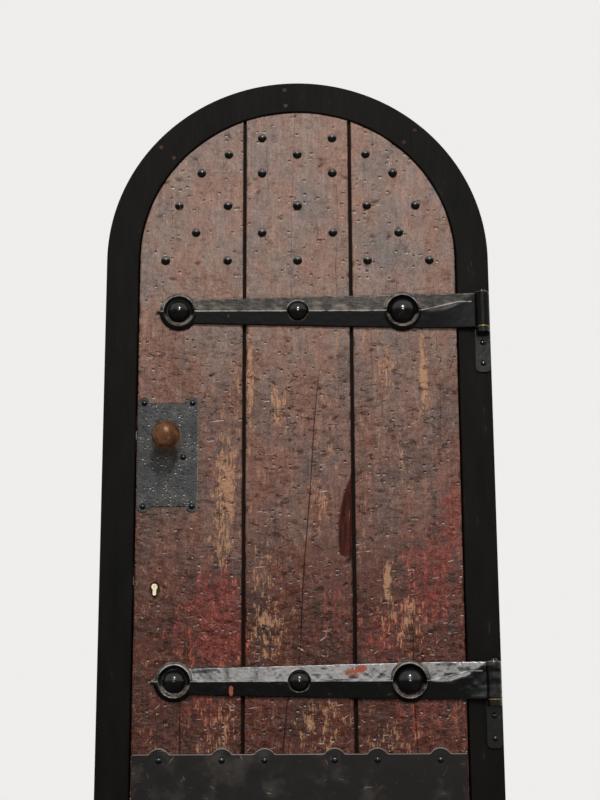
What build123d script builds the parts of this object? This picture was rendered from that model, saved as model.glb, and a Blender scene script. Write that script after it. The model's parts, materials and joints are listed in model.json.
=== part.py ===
"""Arched plank door with forged strap hinges, hung in its own timber frame.

Millimetres. X runs across the door, Z is up, and the outside of the door faces -Y.
The origin is the middle of the sill's underside, half way through the frame's depth.
The door is shown shut, hinged on its right-hand side and opening outwards.
"""
from math import asin, atan2, cos, degrees, radians, sin
import os

from build123d import *

# General clearances
hole_clearance = 0.25     # radial, round any peg, nail or bolt in wood
running_clearance = 0.05  # radial, round a shaft that turns
slide_clearance = 0.5     # beside a bolt that slides

# Leaf
leaf_width = 930.0
leaf_height = 2150.0
plank_thickness = 48.0
plank_gap = 10.0
plank_arris = 2.0
tongue_thickness = 12.0
tongue_grip = 16.0        # how far a tongue reaches into each plank
tongue_clearance = 0.5
leaf_gap = 4.0            # between the leaf's edge and the frame
leaf_proud = 3.0          # the leaf stands this far in front of the frame
stop_gap = 1.0            # between the shut leaf and the frame's stop

# Timber frame
frame_depth = 114.0
frame_face = 95.0         # width of the frame's face beside the leaf
stop_width = 16.0         # how far the stop laps behind the leaf
frame_arris = 3.0
segment_count = 4         # curved timbers in the arched head
lap_angle = 8.0           # half-lap between two curved timbers, in degrees
peg_radius = 6.0
lap_peg_inset = 22.0      # from the head's outer and inner curves
dowel_radius = 8.0
dowel_depth = 40.0
dowel_y = 26.0
tenon_width = 50.0
tenon_thickness = 40.0
tenon_length = 35.0

# Sill
sill_height = 70.0
sill_step_height = 50.0   # the part under the leaf
sill_nose_height = 42.0
sill_nose = 16.0          # how far the sill reaches in front of the frame
leaf_floor_gap = 6.0

# Holes for the bolts that tie the frame into masonry
anchor_hole_radius = 5.5
anchor_y = 30.0
anchor_low = 260.0        # the lowest, above the sill's underside
anchor_high_drop = 161.0  # the highest, below the springing of the arch
anchor_count = 4

# Boards and ledges on the inside of the leaf
ledge_thickness = 28.0
ledge_inset = 20.0
ledge_height = 130.0
ledge_arris = 3.0
board_gap = 3.0
backing_drop = 50.0       # below the springing of the arch
backing_splits = (0.269, 0.645)  # above the springing, as shares of half the leaf's width
brace_width = 110.0
brace_toe = 60.0
screw_radius = 3.0
screw_length = 58.0
screw_head_radius = 6.0

# Studs: height above the springing and distances from the middle, as shares of half the leaf's width
stud_rows = (
    (-0.009, (0.0, 0.445, 0.839)),
    (0.178, (0.226, 0.647)),
    (0.361, (0.0, 0.445, 0.757)),
    (0.583, (0.226, 0.615)),
    (0.712, (0.0, 0.441)),
    (0.824, (0.226,)),
)
stud_radius = 14.0
stud_height = 10.0
stud_shank = 6.0
clench_length = 24.0
clench_thickness = 3.0

# Strap hinges
strap_upper_drop = 164.0  # below the springing of the arch
strap_lower_rise = 449.0  # above the leaf's bottom edge
strap_left_height = 72.0
strap_right_height = 104.0
strap_edge_thickness = 8.0
strap_ridge_left = 13.0
strap_ridge_right = 16.0
strap_floor = 9.0         # thickness inside a ring and under a dome
boss_left_inset = 117.0   # from the leaf's left edge
boss_right_inset = 158.0  # from its right edge
ring_left_radius = 46.0   # crest of the ring round the left boss
ring_right_radius = 49.0
ring_skirt = 11.0         # from the crest out to the boss's edge
ring_hollow = 10.0        # from the crest in to the boss's floor
ring_rim = 4.0            # thickness at the boss's edge
ring_rise = 2.5           # the crest stands this far above the strap's ridge
crest_width = 3.0
crest_round = 0.6
strap_tip_reach = 67.0    # from the left boss to the tip
tip_height = 26.0
tip_blunt = 2.0
ridge_end_gap = 26.0      # from the eye's middle to where the upper bevel runs out

# Dome-headed bolts through the straps
dome_left_radius = 32.5
dome_middle_radius = 29.5
dome_right_radius = 38.5
dome_ratio = 0.8          # height of a dome against its radius
bolt_radius = 8.0
washer_radius = 19.0
washer_thickness = 3.0
nut_width = 24.0
nut_height = 12.0
bolt_tail = 5.0

# Hinge eyes and pintles
pin_reach = 75.0          # from the leaf's edge to the pin
pin_radius = 10.0
eye_radius = 20.0
eye_washer = 2.0
pin_above_eye = 9.0
lug_height = 16.0
lug_radius = 19.0
pintle_plate_width = 44.0
pintle_plate_height = 130.0
pintle_plate_thickness = 6.0
pintle_screw_radius = 5.0
pintle_screw_length = 60.0
pintle_screw_head = 8.5
pintle_screw_spacing = 62.0

# Kick plate
kick_height = 252.0
kick_thickness = 3.0
kick_margin = 3.0
kick_arris = 0.8
kick_rivets = (0.2075, 0.4613, 0.8344)  # from the middle, as shares of half the leaf's width
kick_rivet_radius = 9.5
kick_rivet_height = 5.0
kick_rivet_shank = 3.0
kick_rivet_length = 30.0
kick_rivet_drop = 17.0    # below the plate's top edge
lobe_radius = 33.0
lobe_fillet = 9.0
kick_low_rivet = 24.0     # above the leaf's bottom edge

# Plate behind the knob
lock_plate_width = 174.0
lock_plate_height = 303.0
lock_plate_thickness = 3.0
lock_plate_margin = 3.0   # from the leaf's edge
lock_plate_rise = 110.0   # its top edge above the knob
lock_plate_arris = 0.8
lug_plate_radius = 17.0
plate_rivet_radius = 9.0
plate_rivet_height = 6.0
plate_rivet_shank = 4.0
plate_rivet_length = 32.0
plate_stud_offset = (45.0, -50.0)  # small rivet beside the knob, from its axis

# Knob, roses and spindle
knob_backset = 89.0
knob_height = 1136.0      # above the leaf's bottom edge
knob_ball_radius = 40.0
knob_reach = 82.0         # from the leaf's face to the ball's middle
knob_neck_radius = 14.0
knob_collar_radius = 21.0
knob_collar = 8.0
inner_ball_radius = 28.0
inner_reach = 58.0
rose_radius = 46.0
rose_rim = 2.5
rose_thickness = 8.0
inner_rose_radius = 34.0
spindle_width = 8.0
spindle_socket = 24.0
spindle_hole_radius = 12.0

# Knob latch let into the leaf's edge
latch_case_depth = 108.0
latch_case_height = 84.0
latch_case_thickness = 18.0
case_wall = 2.0
latch_rise = 23.0         # the latch lies this far above the spindle
latch_height = 26.0
latch_throw = 12.0
latch_head = 24.0
latch_tail_height = 6.5
latch_tail_thickness = 8.0
horn_radius = 16.0        # from the spindle to the middle of the horn's tip
horn_tip_radius = 3.5
horn_width = 4.0
hub_radius = 9.0
horn_play = 0.3
latch_lug = 6.0
fore_end_thickness = 3.0
fore_end_width = 24.0
fore_end_spare = 26.0     # above and below a lock case
fore_screw_radius = 2.5
fore_screw_length = 22.0
bolt_recess = 0.5         # a drawn bolt lies this far inside the leaf's edge

# Deadlock with its cylinder
cylinder_backset = 58.0
cylinder_fall = 422.0     # the plug's axis, below the knob
cylinder_head_radius = 8.5
cylinder_foot_radius = 5.0
cylinder_height = 33.0
cylinder_proud = 2.0
plug_radius = 5.4
cam_radius = 14.0
cam_width = 6.0
cam_thickness = 9.6
cam_slot = 10.4
cam_space = 0.6
keyway_width = 2.2
keyway_depth = 6.0
dead_case_depth = 96.0
dead_case_above = 44.0
dead_case_below = 34.0
dead_rise = 9.6           # from the plug's axis to the deadbolt's lower edge
dead_height = 25.0
dead_length = 90.0
dead_throw = 20.0
talon_width = 27.0
talon_depth = 5.4
cylinder_cut = (29.0, 45.0)  # rough hole cut in the plank round the cylinder
cylinder_cut_depth = 14.0
cylinder_screw_radius = 2.5

# Strike plates in the left jamb
strike_width = 24.0
strike_height = 112.0
strike_thickness = 3.0
strike_play = 1.5         # round a bolt in its strike
strike_depth = 28.0
strike_screw_inset = 14.0

# Places worked out from the sizes above
frame_front = -frame_depth / 2
frame_back = frame_depth / 2
leaf_front = frame_front - leaf_proud
leaf_back = leaf_front + plank_thickness
leaf_middle = (leaf_front + leaf_back) / 2
stop_y = leaf_back + stop_gap
ledge_back = leaf_back + ledge_thickness
leaf_half = leaf_width / 2
leaf_bottom = sill_step_height + leaf_floor_gap
springing = leaf_bottom + leaf_height - leaf_half
rebate_half = leaf_half + leaf_gap
stop_half = rebate_half - stop_width
outer_half = rebate_half + frame_face
ledge_half = leaf_half - ledge_inset
plank_edge = (leaf_width - 2 * plank_gap) / 6      # half of the middle plank
plank_joint = plank_edge + plank_gap / 2           # middle of each gap
strap_upper_z = springing - strap_upper_drop
strap_lower_z = leaf_bottom + strap_lower_rise
strap_heights = {"upper": strap_upper_z, "lower": strap_lower_z}
boss_left = boss_left_inset - leaf_half
boss_right = leaf_half - boss_right_inset
pin_x = leaf_half + pin_reach
eye_y = leaf_front - eye_radius
anchor_spacing = (springing - anchor_high_drop - anchor_low) / (anchor_count - 1)
knob_x = -leaf_half + knob_backset
knob_z = leaf_bottom + knob_height
latch_z = knob_z + latch_rise
cylinder_x = -leaf_half + cylinder_backset
cylinder_z = knob_z - cylinder_fall
ledge_middle_z = (knob_z + cylinder_z) / 2
dead_z = cylinder_z + dead_rise + dead_height / 2
lock_plate_x = -leaf_half + lock_plate_margin + lock_plate_width / 2
lock_plate_z = knob_z + lock_plate_rise - lock_plate_height / 2
plate_front = leaf_front - lock_plate_thickness


# Simple solids placed by their limits


def block(x0, x1, y0, y1, z0, z1):
    """A box between two limits on each axis."""
    size = Box(x1 - x0, y1 - y0, z1 - z0)
    return Pos((x0 + x1) / 2, (y0 + y1) / 2, (z0 + z1) / 2) * size


def rod_x(y, z, x0, x1, radius):
    """A round bar along X."""
    return Pos((x0 + x1) / 2, y, z) * Rot(0, 90, 0) * Cylinder(radius, x1 - x0)


def rod_y(x, z, y0, y1, radius):
    """A round bar along Y."""
    return Pos(x, (y0 + y1) / 2, z) * Rot(90, 0, 0) * Cylinder(radius, y1 - y0)


def rod_z(x, y, z0, z1, radius):
    """A round bar along Z."""
    return Pos(x, y, (z0 + z1) / 2) * Cylinder(radius, z1 - z0)


def slab(outline, y0, y1):
    """Extrude an outline drawn in X and Z from y1 forwards to y0."""
    plane = Plane(origin=(0, y1, 0), x_dir=(1, 0, 0), z_dir=(0, -1, 0))
    return extrude(plane * outline, amount=y1 - y0)


def turned(x, z, y, profile):
    """Turn a profile about an axis along Y. It is drawn as (radius, distance in front of y)."""
    plane = Plane(origin=(x, y, z), x_dir=(1, 0, 0), z_dir=(0, 0, 1))
    points = [(radius, -reach) for radius, reach in profile]
    face = make_face(Polyline(*points, close=True))
    return revolve(plane * face, axis=Axis((x, y, z), (0, 1, 0)))


def cap(x, z, y, radius, height):
    """A shallow dome that stands in front of the face at y."""
    sphere_radius = (radius ** 2 + height ** 2) / (2 * height)
    half_angle = asin(min(1.0, radius / sphere_radius)) / 2
    middle = (sphere_radius * sin(half_angle),
              -height + sphere_radius * (1 - cos(half_angle)))
    outline = Line((0, 0), (radius, 0)) + ThreePointArc((radius, 0), middle, (0, -height))
    outline += Line((0, -height), (0, 0))
    plane = Plane(origin=(x, y, z), x_dir=(1, 0, 0), z_dir=(0, 0, 1))
    return revolve(plane * make_face(outline), axis=Axis((x, y, z), (0, 1, 0)))


def dome(x, z, y, radius, height, shank_radius, shank_end):
    """A domed head standing in front of y, with a round shank back to shank_end."""
    return cap(x, z, y, radius, height) + rod_y(x, z, y, shank_end, shank_radius)


def arch(half, bottom):
    """An outline with upright sides and a half-round top."""
    sides = Pos(0, (bottom + springing) / 2) * Rectangle(2 * half, springing - bottom)
    return sides + Pos(0, springing) * Circle(half)


# Timber frame


def jamb_solid():
    """The right-hand jamb, rebated for the leaf, with a tenon for the sill."""
    front = block(rebate_half, outer_half, frame_front, stop_y, sill_height, springing)
    front = chamfer(front.edges().filter_by(Axis.Z).sort_by(Axis.Y)[:2], frame_arris)
    rear = block(stop_half, outer_half, stop_y, frame_back, sill_height, springing)
    rear = chamfer(rear.edges().filter_by(Axis.Z).sort_by(Axis.Y)[-2:], frame_arris)
    middle = (rebate_half + outer_half) / 2
    tenon = block(middle - tenon_width / 2, middle + tenon_width / 2,
                  -tenon_thickness / 2, tenon_thickness / 2,
                  sill_height - tenon_length, sill_height)
    jamb = front + rear + tenon
    for number in range(anchor_count):
        z = anchor_low + number * anchor_spacing
        jamb -= rod_x(anchor_y, z, stop_half - 1, outer_half + 1, anchor_hole_radius)
    for y in (-dowel_y, dowel_y):
        hole = rod_z(middle, y, springing - dowel_depth, springing, dowel_radius + hole_clearance)
        jamb -= hole
    return jamb


def right_jamb():
    """The jamb that carries both pintles."""
    jamb = jamb_solid()
    for z in strap_heights.values():
        for screw_z in pintle_screw_heights(z):
            end = frame_front + pintle_screw_length - pintle_plate_thickness
            jamb -= rod_y(pin_x, screw_z, frame_front, end, pintle_screw_radius + hole_clearance)
    return jamb


def left_jamb():
    """The jamb that the latch and the deadbolt enter."""
    jamb = mirror(jamb_solid(), about=Plane.YZ)
    face = -rebate_half
    for z, height in ((latch_z, latch_height), (dead_z, dead_height)):
        jamb -= block(face - strike_thickness, face, leaf_middle - strike_width / 2,
                      leaf_middle + strike_width / 2, z - strike_height / 2, z + strike_height / 2)
        jamb -= strike_pocket(z, height, face - strike_depth)
        for screw_z in strike_screw_heights(z):
            jamb -= rod_x(leaf_middle, screw_z, face - strike_thickness - fore_screw_length,
                          face, fore_screw_radius + hole_clearance)
    return jamb


def strike_pocket(z, height, depth_x):
    """The space that a bolt shoots into."""
    bolt_thickness = latch_case_thickness - 2 * case_wall - 2 * slide_clearance
    return block(depth_x, -rebate_half + 1, leaf_middle - bolt_thickness / 2 - strike_play,
                 leaf_middle + bolt_thickness / 2 + strike_play,
                 z - height / 2 - strike_play, z + height / 2 + strike_play)


def strike_screw_heights(z):
    """The two screws of a strike plate centred at z."""
    reach = strike_height / 2 - strike_screw_inset
    return (z - reach, z + reach)


def ring_sector(inner, outer, y0, y1, start, end):
    """Part of a flat ring about the springing point, between two angles from +X."""
    ring = Circle(outer) - Circle(inner)
    reach = 2 * outer
    middle = (start + end) / 2
    corners = [(0, 0)]
    for angle in (start, middle, end):
        corners.append((reach * cos(radians(angle)), reach * sin(radians(angle))))
    wedge = make_face(Polyline(*corners, close=True))
    return slab(Pos(0, springing) * (ring & wedge), y0, y1)


def head_segment(number):
    """One curved timber of the head, half-lapped to the next."""
    step = 180.0 / segment_count
    start = number * step
    end = start + step
    rear_start = start if number == 0 else start + lap_angle
    rear_end = end if number == segment_count - 1 else end + lap_angle
    front = ring_sector(rebate_half, outer_half, frame_front, stop_y, start, end)
    front = chamfer(front.edges().filter_by(GeomType.CIRCLE).sort_by(Axis.Y)[:2], frame_arris)
    rear = ring_sector(stop_half, outer_half, stop_y, frame_back, rear_start, rear_end)
    rear = chamfer(rear.edges().filter_by(GeomType.CIRCLE).sort_by(Axis.Y)[-2:], frame_arris)
    solid = front + rear
    for x, z in lap_peg_places():
        solid -= rod_y(x, z, frame_front, frame_back, peg_radius + hole_clearance)
    middle = (rebate_half + outer_half) / 2
    for x in (-middle, middle):
        for y in (-dowel_y, dowel_y):
            solid -= rod_z(x, y, springing, springing + dowel_depth, dowel_radius + hole_clearance)
    return solid


def lap_peg_places():
    """Two pegs across each lap of the head."""
    places = []
    for number in range(1, segment_count):
        angle = radians(number * 180.0 / segment_count + lap_angle / 2)
        for radius in (rebate_half + lap_peg_inset, outer_half - lap_peg_inset):
            places.append((radius * cos(angle), springing + radius * sin(angle)))
    return places


def frame_pegs():
    """Wooden pegs through the laps of the head."""
    return [rod_y(x, z, frame_front, frame_back, peg_radius) for x, z in lap_peg_places()]


def frame_dowels():
    """Dowels that join the head to the jambs."""
    middle = (rebate_half + outer_half) / 2
    low = springing - dowel_depth
    high = springing + dowel_depth
    return [rod_z(x, y, low, high, dowel_radius) for x in (-middle, middle) for y in (-dowel_y, dowel_y)]


def sill():
    """The sill: stepped and sloped under the leaf, left square under the jambs."""
    blank = block(-outer_half, outer_half, frame_front, frame_back, 0, sill_height)
    nose = block(-rebate_half, rebate_half, frame_front - sill_nose, frame_front, 0, sill_height)
    front = frame_front - sill_nose
    with BuildSketch(Plane.YZ) as cut:
        with BuildLine():
            Polyline((stop_y, sill_height + 1), (stop_y, sill_step_height),
                     (frame_front, sill_step_height), (front - 1, sill_nose_height),
                     (front - 1, sill_height + 1), close=True)
        make_face()
    space = extrude(cut.sketch, amount=rebate_half, both=True)
    solid = blank + nose - space
    middle = (rebate_half + outer_half) / 2
    for x in (-middle, middle):
        solid -= block(x - tenon_width / 2, x + tenon_width / 2, -tenon_thickness / 2,
                       tenon_thickness / 2, sill_height - tenon_length, sill_height)
    return solid


def strike_plate(z, height):
    """A plate let flush into the left jamb."""
    face = -rebate_half
    plate = block(face - strike_thickness, face, leaf_middle - strike_width / 2,
                  leaf_middle + strike_width / 2, z - strike_height / 2, z + strike_height / 2)
    plate -= strike_pocket(z, height, face - strike_thickness)
    for screw_z in strike_screw_heights(z):
        plate -= rod_x(leaf_middle, screw_z, face - strike_thickness, face,
                       fore_screw_radius + hole_clearance)
    return plate


def strike_screws():
    """Two screws in each strike plate, heads flush."""
    face = -rebate_half
    screws = []
    for z in (latch_z, dead_z):
        for screw_z in strike_screw_heights(z):
            screws.append(rod_x(leaf_middle, screw_z, face - strike_thickness - fore_screw_length,
                                face, fore_screw_radius))
    return screws


# Pintles


def eye_bottom(z):
    """The underside of a strap's eye."""
    return z - strap_right_height / 2


def pintle_screw_heights(z):
    """The two screws of a pintle's plate."""
    top = eye_bottom(z) - eye_washer
    middle = top - lug_height - (pintle_plate_height - lug_height) / 2
    return (middle - pintle_screw_spacing / 2, middle + pintle_screw_spacing / 2)


def pintle(z):
    """A forged pintle: upright pin, lug and screwed plate."""
    lug_top = eye_bottom(z) - eye_washer
    plate_front_y = frame_front - pintle_plate_thickness
    half = pintle_plate_width / 2
    plate = block(pin_x - half, pin_x + half, plate_front_y, frame_front,
                  lug_top - pintle_plate_height, lug_top)
    low_corners = plate.edges().filter_by(Axis.Y).sort_by(Axis.Z)[:2]
    plate = fillet(low_corners, half * 0.6)
    web = block(pin_x - lug_radius, pin_x + lug_radius, eye_y, plate_front_y,
                lug_top - lug_height, lug_top)
    boss = rod_z(pin_x, eye_y, lug_top - lug_height, lug_top, lug_radius)
    pin_top = z + strap_right_height / 2 + pin_above_eye
    pin = rod_z(pin_x, eye_y, lug_top, pin_top, pin_radius)
    pin = fillet(pin.edges().sort_by(Axis.Z)[-1], pin_radius * 0.6)
    solid = plate + web + boss + pin
    for screw_z in pintle_screw_heights(z):
        solid -= rod_y(pin_x, screw_z, plate_front_y, frame_front, pintle_screw_radius + hole_clearance)
    return solid


def pintle_screws():
    """Dome-headed screws through both pintle plates."""
    face = frame_front - pintle_plate_thickness
    screws = []
    for z in strap_heights.values():
        for screw_z in pintle_screw_heights(z):
            screws.append(dome(pin_x, screw_z, face, pintle_screw_head, pintle_screw_head * 0.6,
                               pintle_screw_radius, face + pintle_screw_length))
    return screws


def eye_washers():
    """A washer between each eye and its lug."""
    washers = []
    for z in strap_heights.values():
        low = eye_bottom(z) - eye_washer
        disc = rod_z(pin_x, eye_y, low, low + eye_washer, lug_radius)
        washers.append(disc - rod_z(pin_x, eye_y, low, low + eye_washer, pin_radius + hole_clearance))
    return washers


# Leaf


def bolt_places():
    """X and Z of every bolt through the two straps."""
    return [(x, z) for z in strap_heights.values() for x in (boss_left, 0.0, boss_right)]


def stud_places():
    """X and Z of every stud, mirrored about the middle."""
    places = []
    for rise, offsets in stud_rows:
        for offset in offsets:
            x = offset * leaf_half
            z = springing + rise * leaf_half
            places.append((x, z))
            if offset > 0:
                places.append((-x, z))
    return places


def shank_hole(x, z, y0, y1):
    """A square hole for a stud's shank."""
    half = stud_shank / 2 + hole_clearance
    return block(x - half, x + half, y0, y1, z - half, z + half)


def plank(x0, x1, grooves):
    """One plank between x0 and x1, cut to the arch, with a groove at each named side."""
    outline = arch(leaf_half, leaf_bottom) & Pos((x0 + x1) / 2, springing) * Rectangle(
        x1 - x0, 2 * leaf_height)
    solid = slab(outline, leaf_front, leaf_back)
    solid = chamfer(solid.faces().sort_by(Axis.Y)[0].edges(), plank_arris)
    groove = tongue_thickness / 2 + tongue_clearance / 2
    for side in grooves:
        inner = side + (tongue_grip if side == x0 else -tongue_grip)
        low, high = sorted((side, inner))
        solid -= block(low, high, leaf_middle - groove, leaf_middle + groove,
                       leaf_bottom, springing + leaf_half)
    for x, z in stud_places():
        if x0 < x < x1:
            solid -= shank_hole(x, z, leaf_front, leaf_back)
    for x, z in bolt_places():
        if x0 < x < x1:
            solid -= rod_y(x, z, leaf_front, leaf_back, bolt_radius + hole_clearance)
    for x, z in ledge_screw_places():
        if x0 < x < x1:
            solid -= rod_y(x, z, ledge_back - screw_length, leaf_back, screw_radius + hole_clearance)
    for x, z in kick_rivet_places():
        if x0 < x < x1:
            solid -= rod_y(x, z, leaf_front, leaf_front - kick_thickness + kick_rivet_length,
                           kick_rivet_shank + hole_clearance)
    return solid


def plank_left():
    """The lock-side plank, with its two mortises."""
    solid = plank(-leaf_half, -plank_edge - plank_gap, (-plank_edge - plank_gap,))
    edge = -leaf_half
    solid -= case_space(edge, latch_case_depth, latch_z_low(), latch_z_low() + latch_case_height)
    solid -= fore_end_space(latch_z_low(), latch_z_low() + latch_case_height)
    solid -= case_space(edge, dead_case_depth, dead_low(), dead_high())
    solid -= fore_end_space(dead_low(), dead_high())
    solid -= rod_y(knob_x, knob_z, leaf_front, leaf_back, spindle_hole_radius)
    solid -= slab(cylinder_outline(hole_clearance), leaf_front, leaf_back)
    width, height = cylinder_cut
    middle_z = cylinder_z + cylinder_head_radius - cylinder_height / 2
    rough = Pos(cylinder_x, middle_z) * Ellipse(width / 2, height / 2)
    solid -= slab(rough, leaf_front, leaf_front + cylinder_cut_depth)
    for x, z in plate_rivet_places():
        solid -= rod_y(x, z, leaf_front, plate_front + plate_rivet_length,
                       plate_rivet_shank + hole_clearance)
    for z in fore_screw_heights():
        solid -= rod_x(leaf_middle, z, edge, edge + fore_end_thickness + fore_screw_length,
                       fore_screw_radius + hole_clearance)
    return solid


def plank_middle():
    """The middle plank."""
    return plank(-plank_edge, plank_edge, (-plank_edge, plank_edge))


def plank_right():
    """The hinge-side plank."""
    return plank(plank_edge + plank_gap, leaf_half, (plank_edge + plank_gap,))


def tongue(side):
    """A loose tongue that closes one gap between planks."""
    middle = side * plank_joint
    half = plank_gap / 2 + tongue_grip - tongue_clearance
    strip = Pos(middle, springing) * Rectangle(2 * half, 2 * leaf_height)
    outline = arch(leaf_half, leaf_bottom) & strip
    return slab(outline, leaf_middle - tongue_thickness / 2, leaf_middle + tongue_thickness / 2)


def drilled_for_screws(solid):
    """Cut the countersunk screw holes that fall in a ledge."""
    for x, z in ledge_screw_places():
        solid -= ledge_screw(x, z, hole_clearance)
    return solid


def backing_board(number):
    """One of the boards behind the studs, inside the arch."""
    splits = [share * leaf_half for share in backing_splits]
    levels = [-backing_drop] + splits + [leaf_half]
    low = springing + levels[number] + (board_gap / 2 if number else 0)
    high = springing + levels[number + 1] - board_gap / 2
    band = Pos(0, (low + high) / 2) * Rectangle(2 * leaf_half, high - low)
    solid = slab(arch(ledge_half, leaf_bottom) & band, leaf_back, ledge_back)
    for x, z in stud_places():
        if low < z < high:
            solid -= shank_hole(x, z, leaf_back, ledge_back)
    return solid


def ledge(z):
    """A level board across the inside of the planks."""
    solid = block(-ledge_half, ledge_half, leaf_back, ledge_back,
                  z - ledge_height / 2, z + ledge_height / 2)
    solid = chamfer(solid.faces().sort_by(Axis.Y)[-1].edges(), ledge_arris)
    for x, bolt_z in bolt_places():
        if abs(bolt_z - z) < ledge_height / 2:
            solid -= rod_y(x, bolt_z, leaf_back, ledge_back, bolt_radius + hole_clearance)
    solid = drilled_for_screws(solid)
    return solid


def brace(low_z, high_z):
    """A slanting board from the hinge side of one ledge up to the lock side of the next."""
    foot = low_z + ledge_height / 2
    head = high_z - ledge_height / 2
    run_low = ledge_half - brace_toe
    run_high = -ledge_half + brace_toe
    wide = brace_width * 1.4
    outline = make_face(Polyline((run_low, foot), (run_low - wide, foot), (run_high, head),
                                 (run_high + wide, head), close=True))
    return slab(outline, leaf_back, ledge_back)


def ledge_screw_places():
    """Two screws in each plank for every ledge, clear of the strap bolts."""
    pitch = leaf_width / 3
    places = []
    for z in (strap_upper_z, ledge_middle_z, strap_lower_z):
        for column in (-1, 0, 1):
            for side in (-1, 1):
                x = column * pitch + side * pitch * 0.27
                places.append((x, z + side * ledge_height * 0.3))
    return places


def ledge_screw(x, z, clearance):
    """A countersunk screw driven from the inside."""
    radius = screw_radius + clearance
    head = screw_head_radius + clearance
    tip = screw_length
    profile = ((0, 0), (head, 0), (radius, head - radius), (radius, tip - radius), (0, tip))
    return turned(x, z, ledge_back, profile)


def ledge_screws():
    """All the screws of the ledges."""
    return [ledge_screw(x, z, 0.0) for x, z in ledge_screw_places()]


def stud(x, z):
    """A domed nail: round head, square shank and a clenched point."""
    head = cap(x, z, leaf_front, stud_radius, stud_height)
    half = stud_shank / 2
    shank = block(x - half, x + half, leaf_front, ledge_back + clench_thickness, z - half, z + half)
    turn = clench_length if x <= 0 else -clench_length
    low, high = sorted((x, x + turn))
    point = block(low, high, ledge_back, ledge_back + clench_thickness, z - half, z + half)
    return head + shank + point


def studs():
    """The domed nails of the arched head."""
    return [stud(x, z) for x, z in stud_places()]


# Strap hinges


def strap_section(x, z, height, edge, ridge, ridge_shift):
    """A five-sided section across a strap at x, with its ridge on the outside."""
    plane = Plane(origin=(x, leaf_front, z), x_dir=(0, -1, 0), z_dir=(-1, 0, 0))
    half = height / 2
    return plane * make_face(Polyline((0, -half), (edge, -half), (ridge, ridge_shift),
                                      (edge, half), (0, half), close=True))


def strap(z):
    """A forged strap: ridged bar, two ringed bosses, pointed tip and rolled eye."""
    edge = strap_edge_thickness
    join = boss_right + ring_right_radius
    bar = loft([
        strap_section(boss_left, z, strap_left_height, edge, strap_ridge_left, 0.0),
        strap_section(join, z, strap_right_height, edge, strap_ridge_right, 0.0),
    ], ruled=True)
    run_out = pin_x - ridge_end_gap
    half = strap_right_height / 2
    tail = loft([
        strap_section(join, z, strap_right_height, edge, strap_ridge_right, 0.0),
        strap_section((join + run_out) / 2, z, strap_right_height, edge + 1.5,
                      strap_ridge_right, half * 0.02),
        strap_section(run_out, z, strap_right_height, strap_ridge_right - 0.5,
                      strap_ridge_right, half * 0.9),
    ])
    solid = bar + tail
    solid += block(run_out, pin_x, leaf_front - strap_ridge_right + 0.5, leaf_front,
                   z - half, z + half)
    solid += strap_tip(z)
    for x, crest, ridge in ((boss_left, ring_left_radius, strap_ridge_left),
                            (boss_right, ring_right_radius, strap_ridge_right)):
        solid -= rod_y(x, z, leaf_front - 2 * ridge, leaf_front, crest)
        solid += boss_ring(x, z, crest, ridge + ring_rise)
    seat = dome_middle_radius + 1.0
    solid -= rod_y(0.0, z, leaf_front - 2 * strap_ridge_right, leaf_front - strap_floor, seat)
    solid += rod_z(pin_x, eye_y, z - half, z + half, eye_radius)
    solid -= rod_z(pin_x, eye_y, z - half, z + half, pin_radius + running_clearance)
    for x in (boss_left, 0.0, boss_right):
        solid -= rod_y(x, z, leaf_front - strap_floor, leaf_front, bolt_radius + hole_clearance)
    return solid


def strap_tip(z):
    """The small point beyond the left boss."""
    reach = boss_left - strap_tip_reach
    outline = make_face(Polyline((boss_left, z - tip_height), (reach, z - tip_blunt),
                                 (reach, z + tip_blunt), (boss_left, z + tip_height), close=True))
    solid = slab(outline, leaf_front - strap_edge_thickness, leaf_front)
    return solid


def boss_ring(x, z, crest, height):
    """A round boss: a flat floor inside a raised ring, which slopes away on the outside."""
    half = crest_width / 2
    profile = ((0, 0), (crest + ring_skirt, 0), (crest + ring_skirt, ring_rim),
               (crest + half, height - crest_round), (crest, height), (crest - half, height - crest_round),
               (crest - ring_hollow, strap_floor), (0, strap_floor))
    return turned(x, z, leaf_front, profile)


def boss_bolts(x, radius):
    """The dome-headed bolts at one place along both straps."""
    seat = leaf_front - strap_floor
    end = ledge_back + washer_thickness + nut_height + bolt_tail
    return [dome(x, z, seat, radius, radius * dome_ratio, bolt_radius, end)
            for z in strap_heights.values()]


def bolt_washers():
    """Washers under the nuts on the inside."""
    washers = []
    for x, z in bolt_places():
        disc = rod_y(x, z, ledge_back, ledge_back + washer_thickness, washer_radius)
        washers.append(disc - rod_y(x, z, ledge_back, ledge_back + washer_thickness,
                                    bolt_radius + hole_clearance))
    return washers


def bolt_nuts():
    """Square nuts on the strap bolts."""
    low = ledge_back + washer_thickness
    high = low + nut_height
    half = nut_width / 2
    nuts = []
    for x, z in bolt_places():
        nut = block(x - half, x + half, low, high, z - half, z + half)
        nuts.append(nut - rod_y(x, z, low, high, bolt_radius + hole_clearance))
    return nuts


# Kick plate


def kick_rivet_places():
    """X and Z of the rivets along the plate's top and bottom edges."""
    top = leaf_bottom + kick_height - kick_rivet_drop
    low = leaf_bottom + kick_low_rivet
    offsets = [side * share * leaf_half for share in kick_rivets for side in (-1, 1)]
    return [(x, z) for z in (top, low) for x in offsets]


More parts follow.
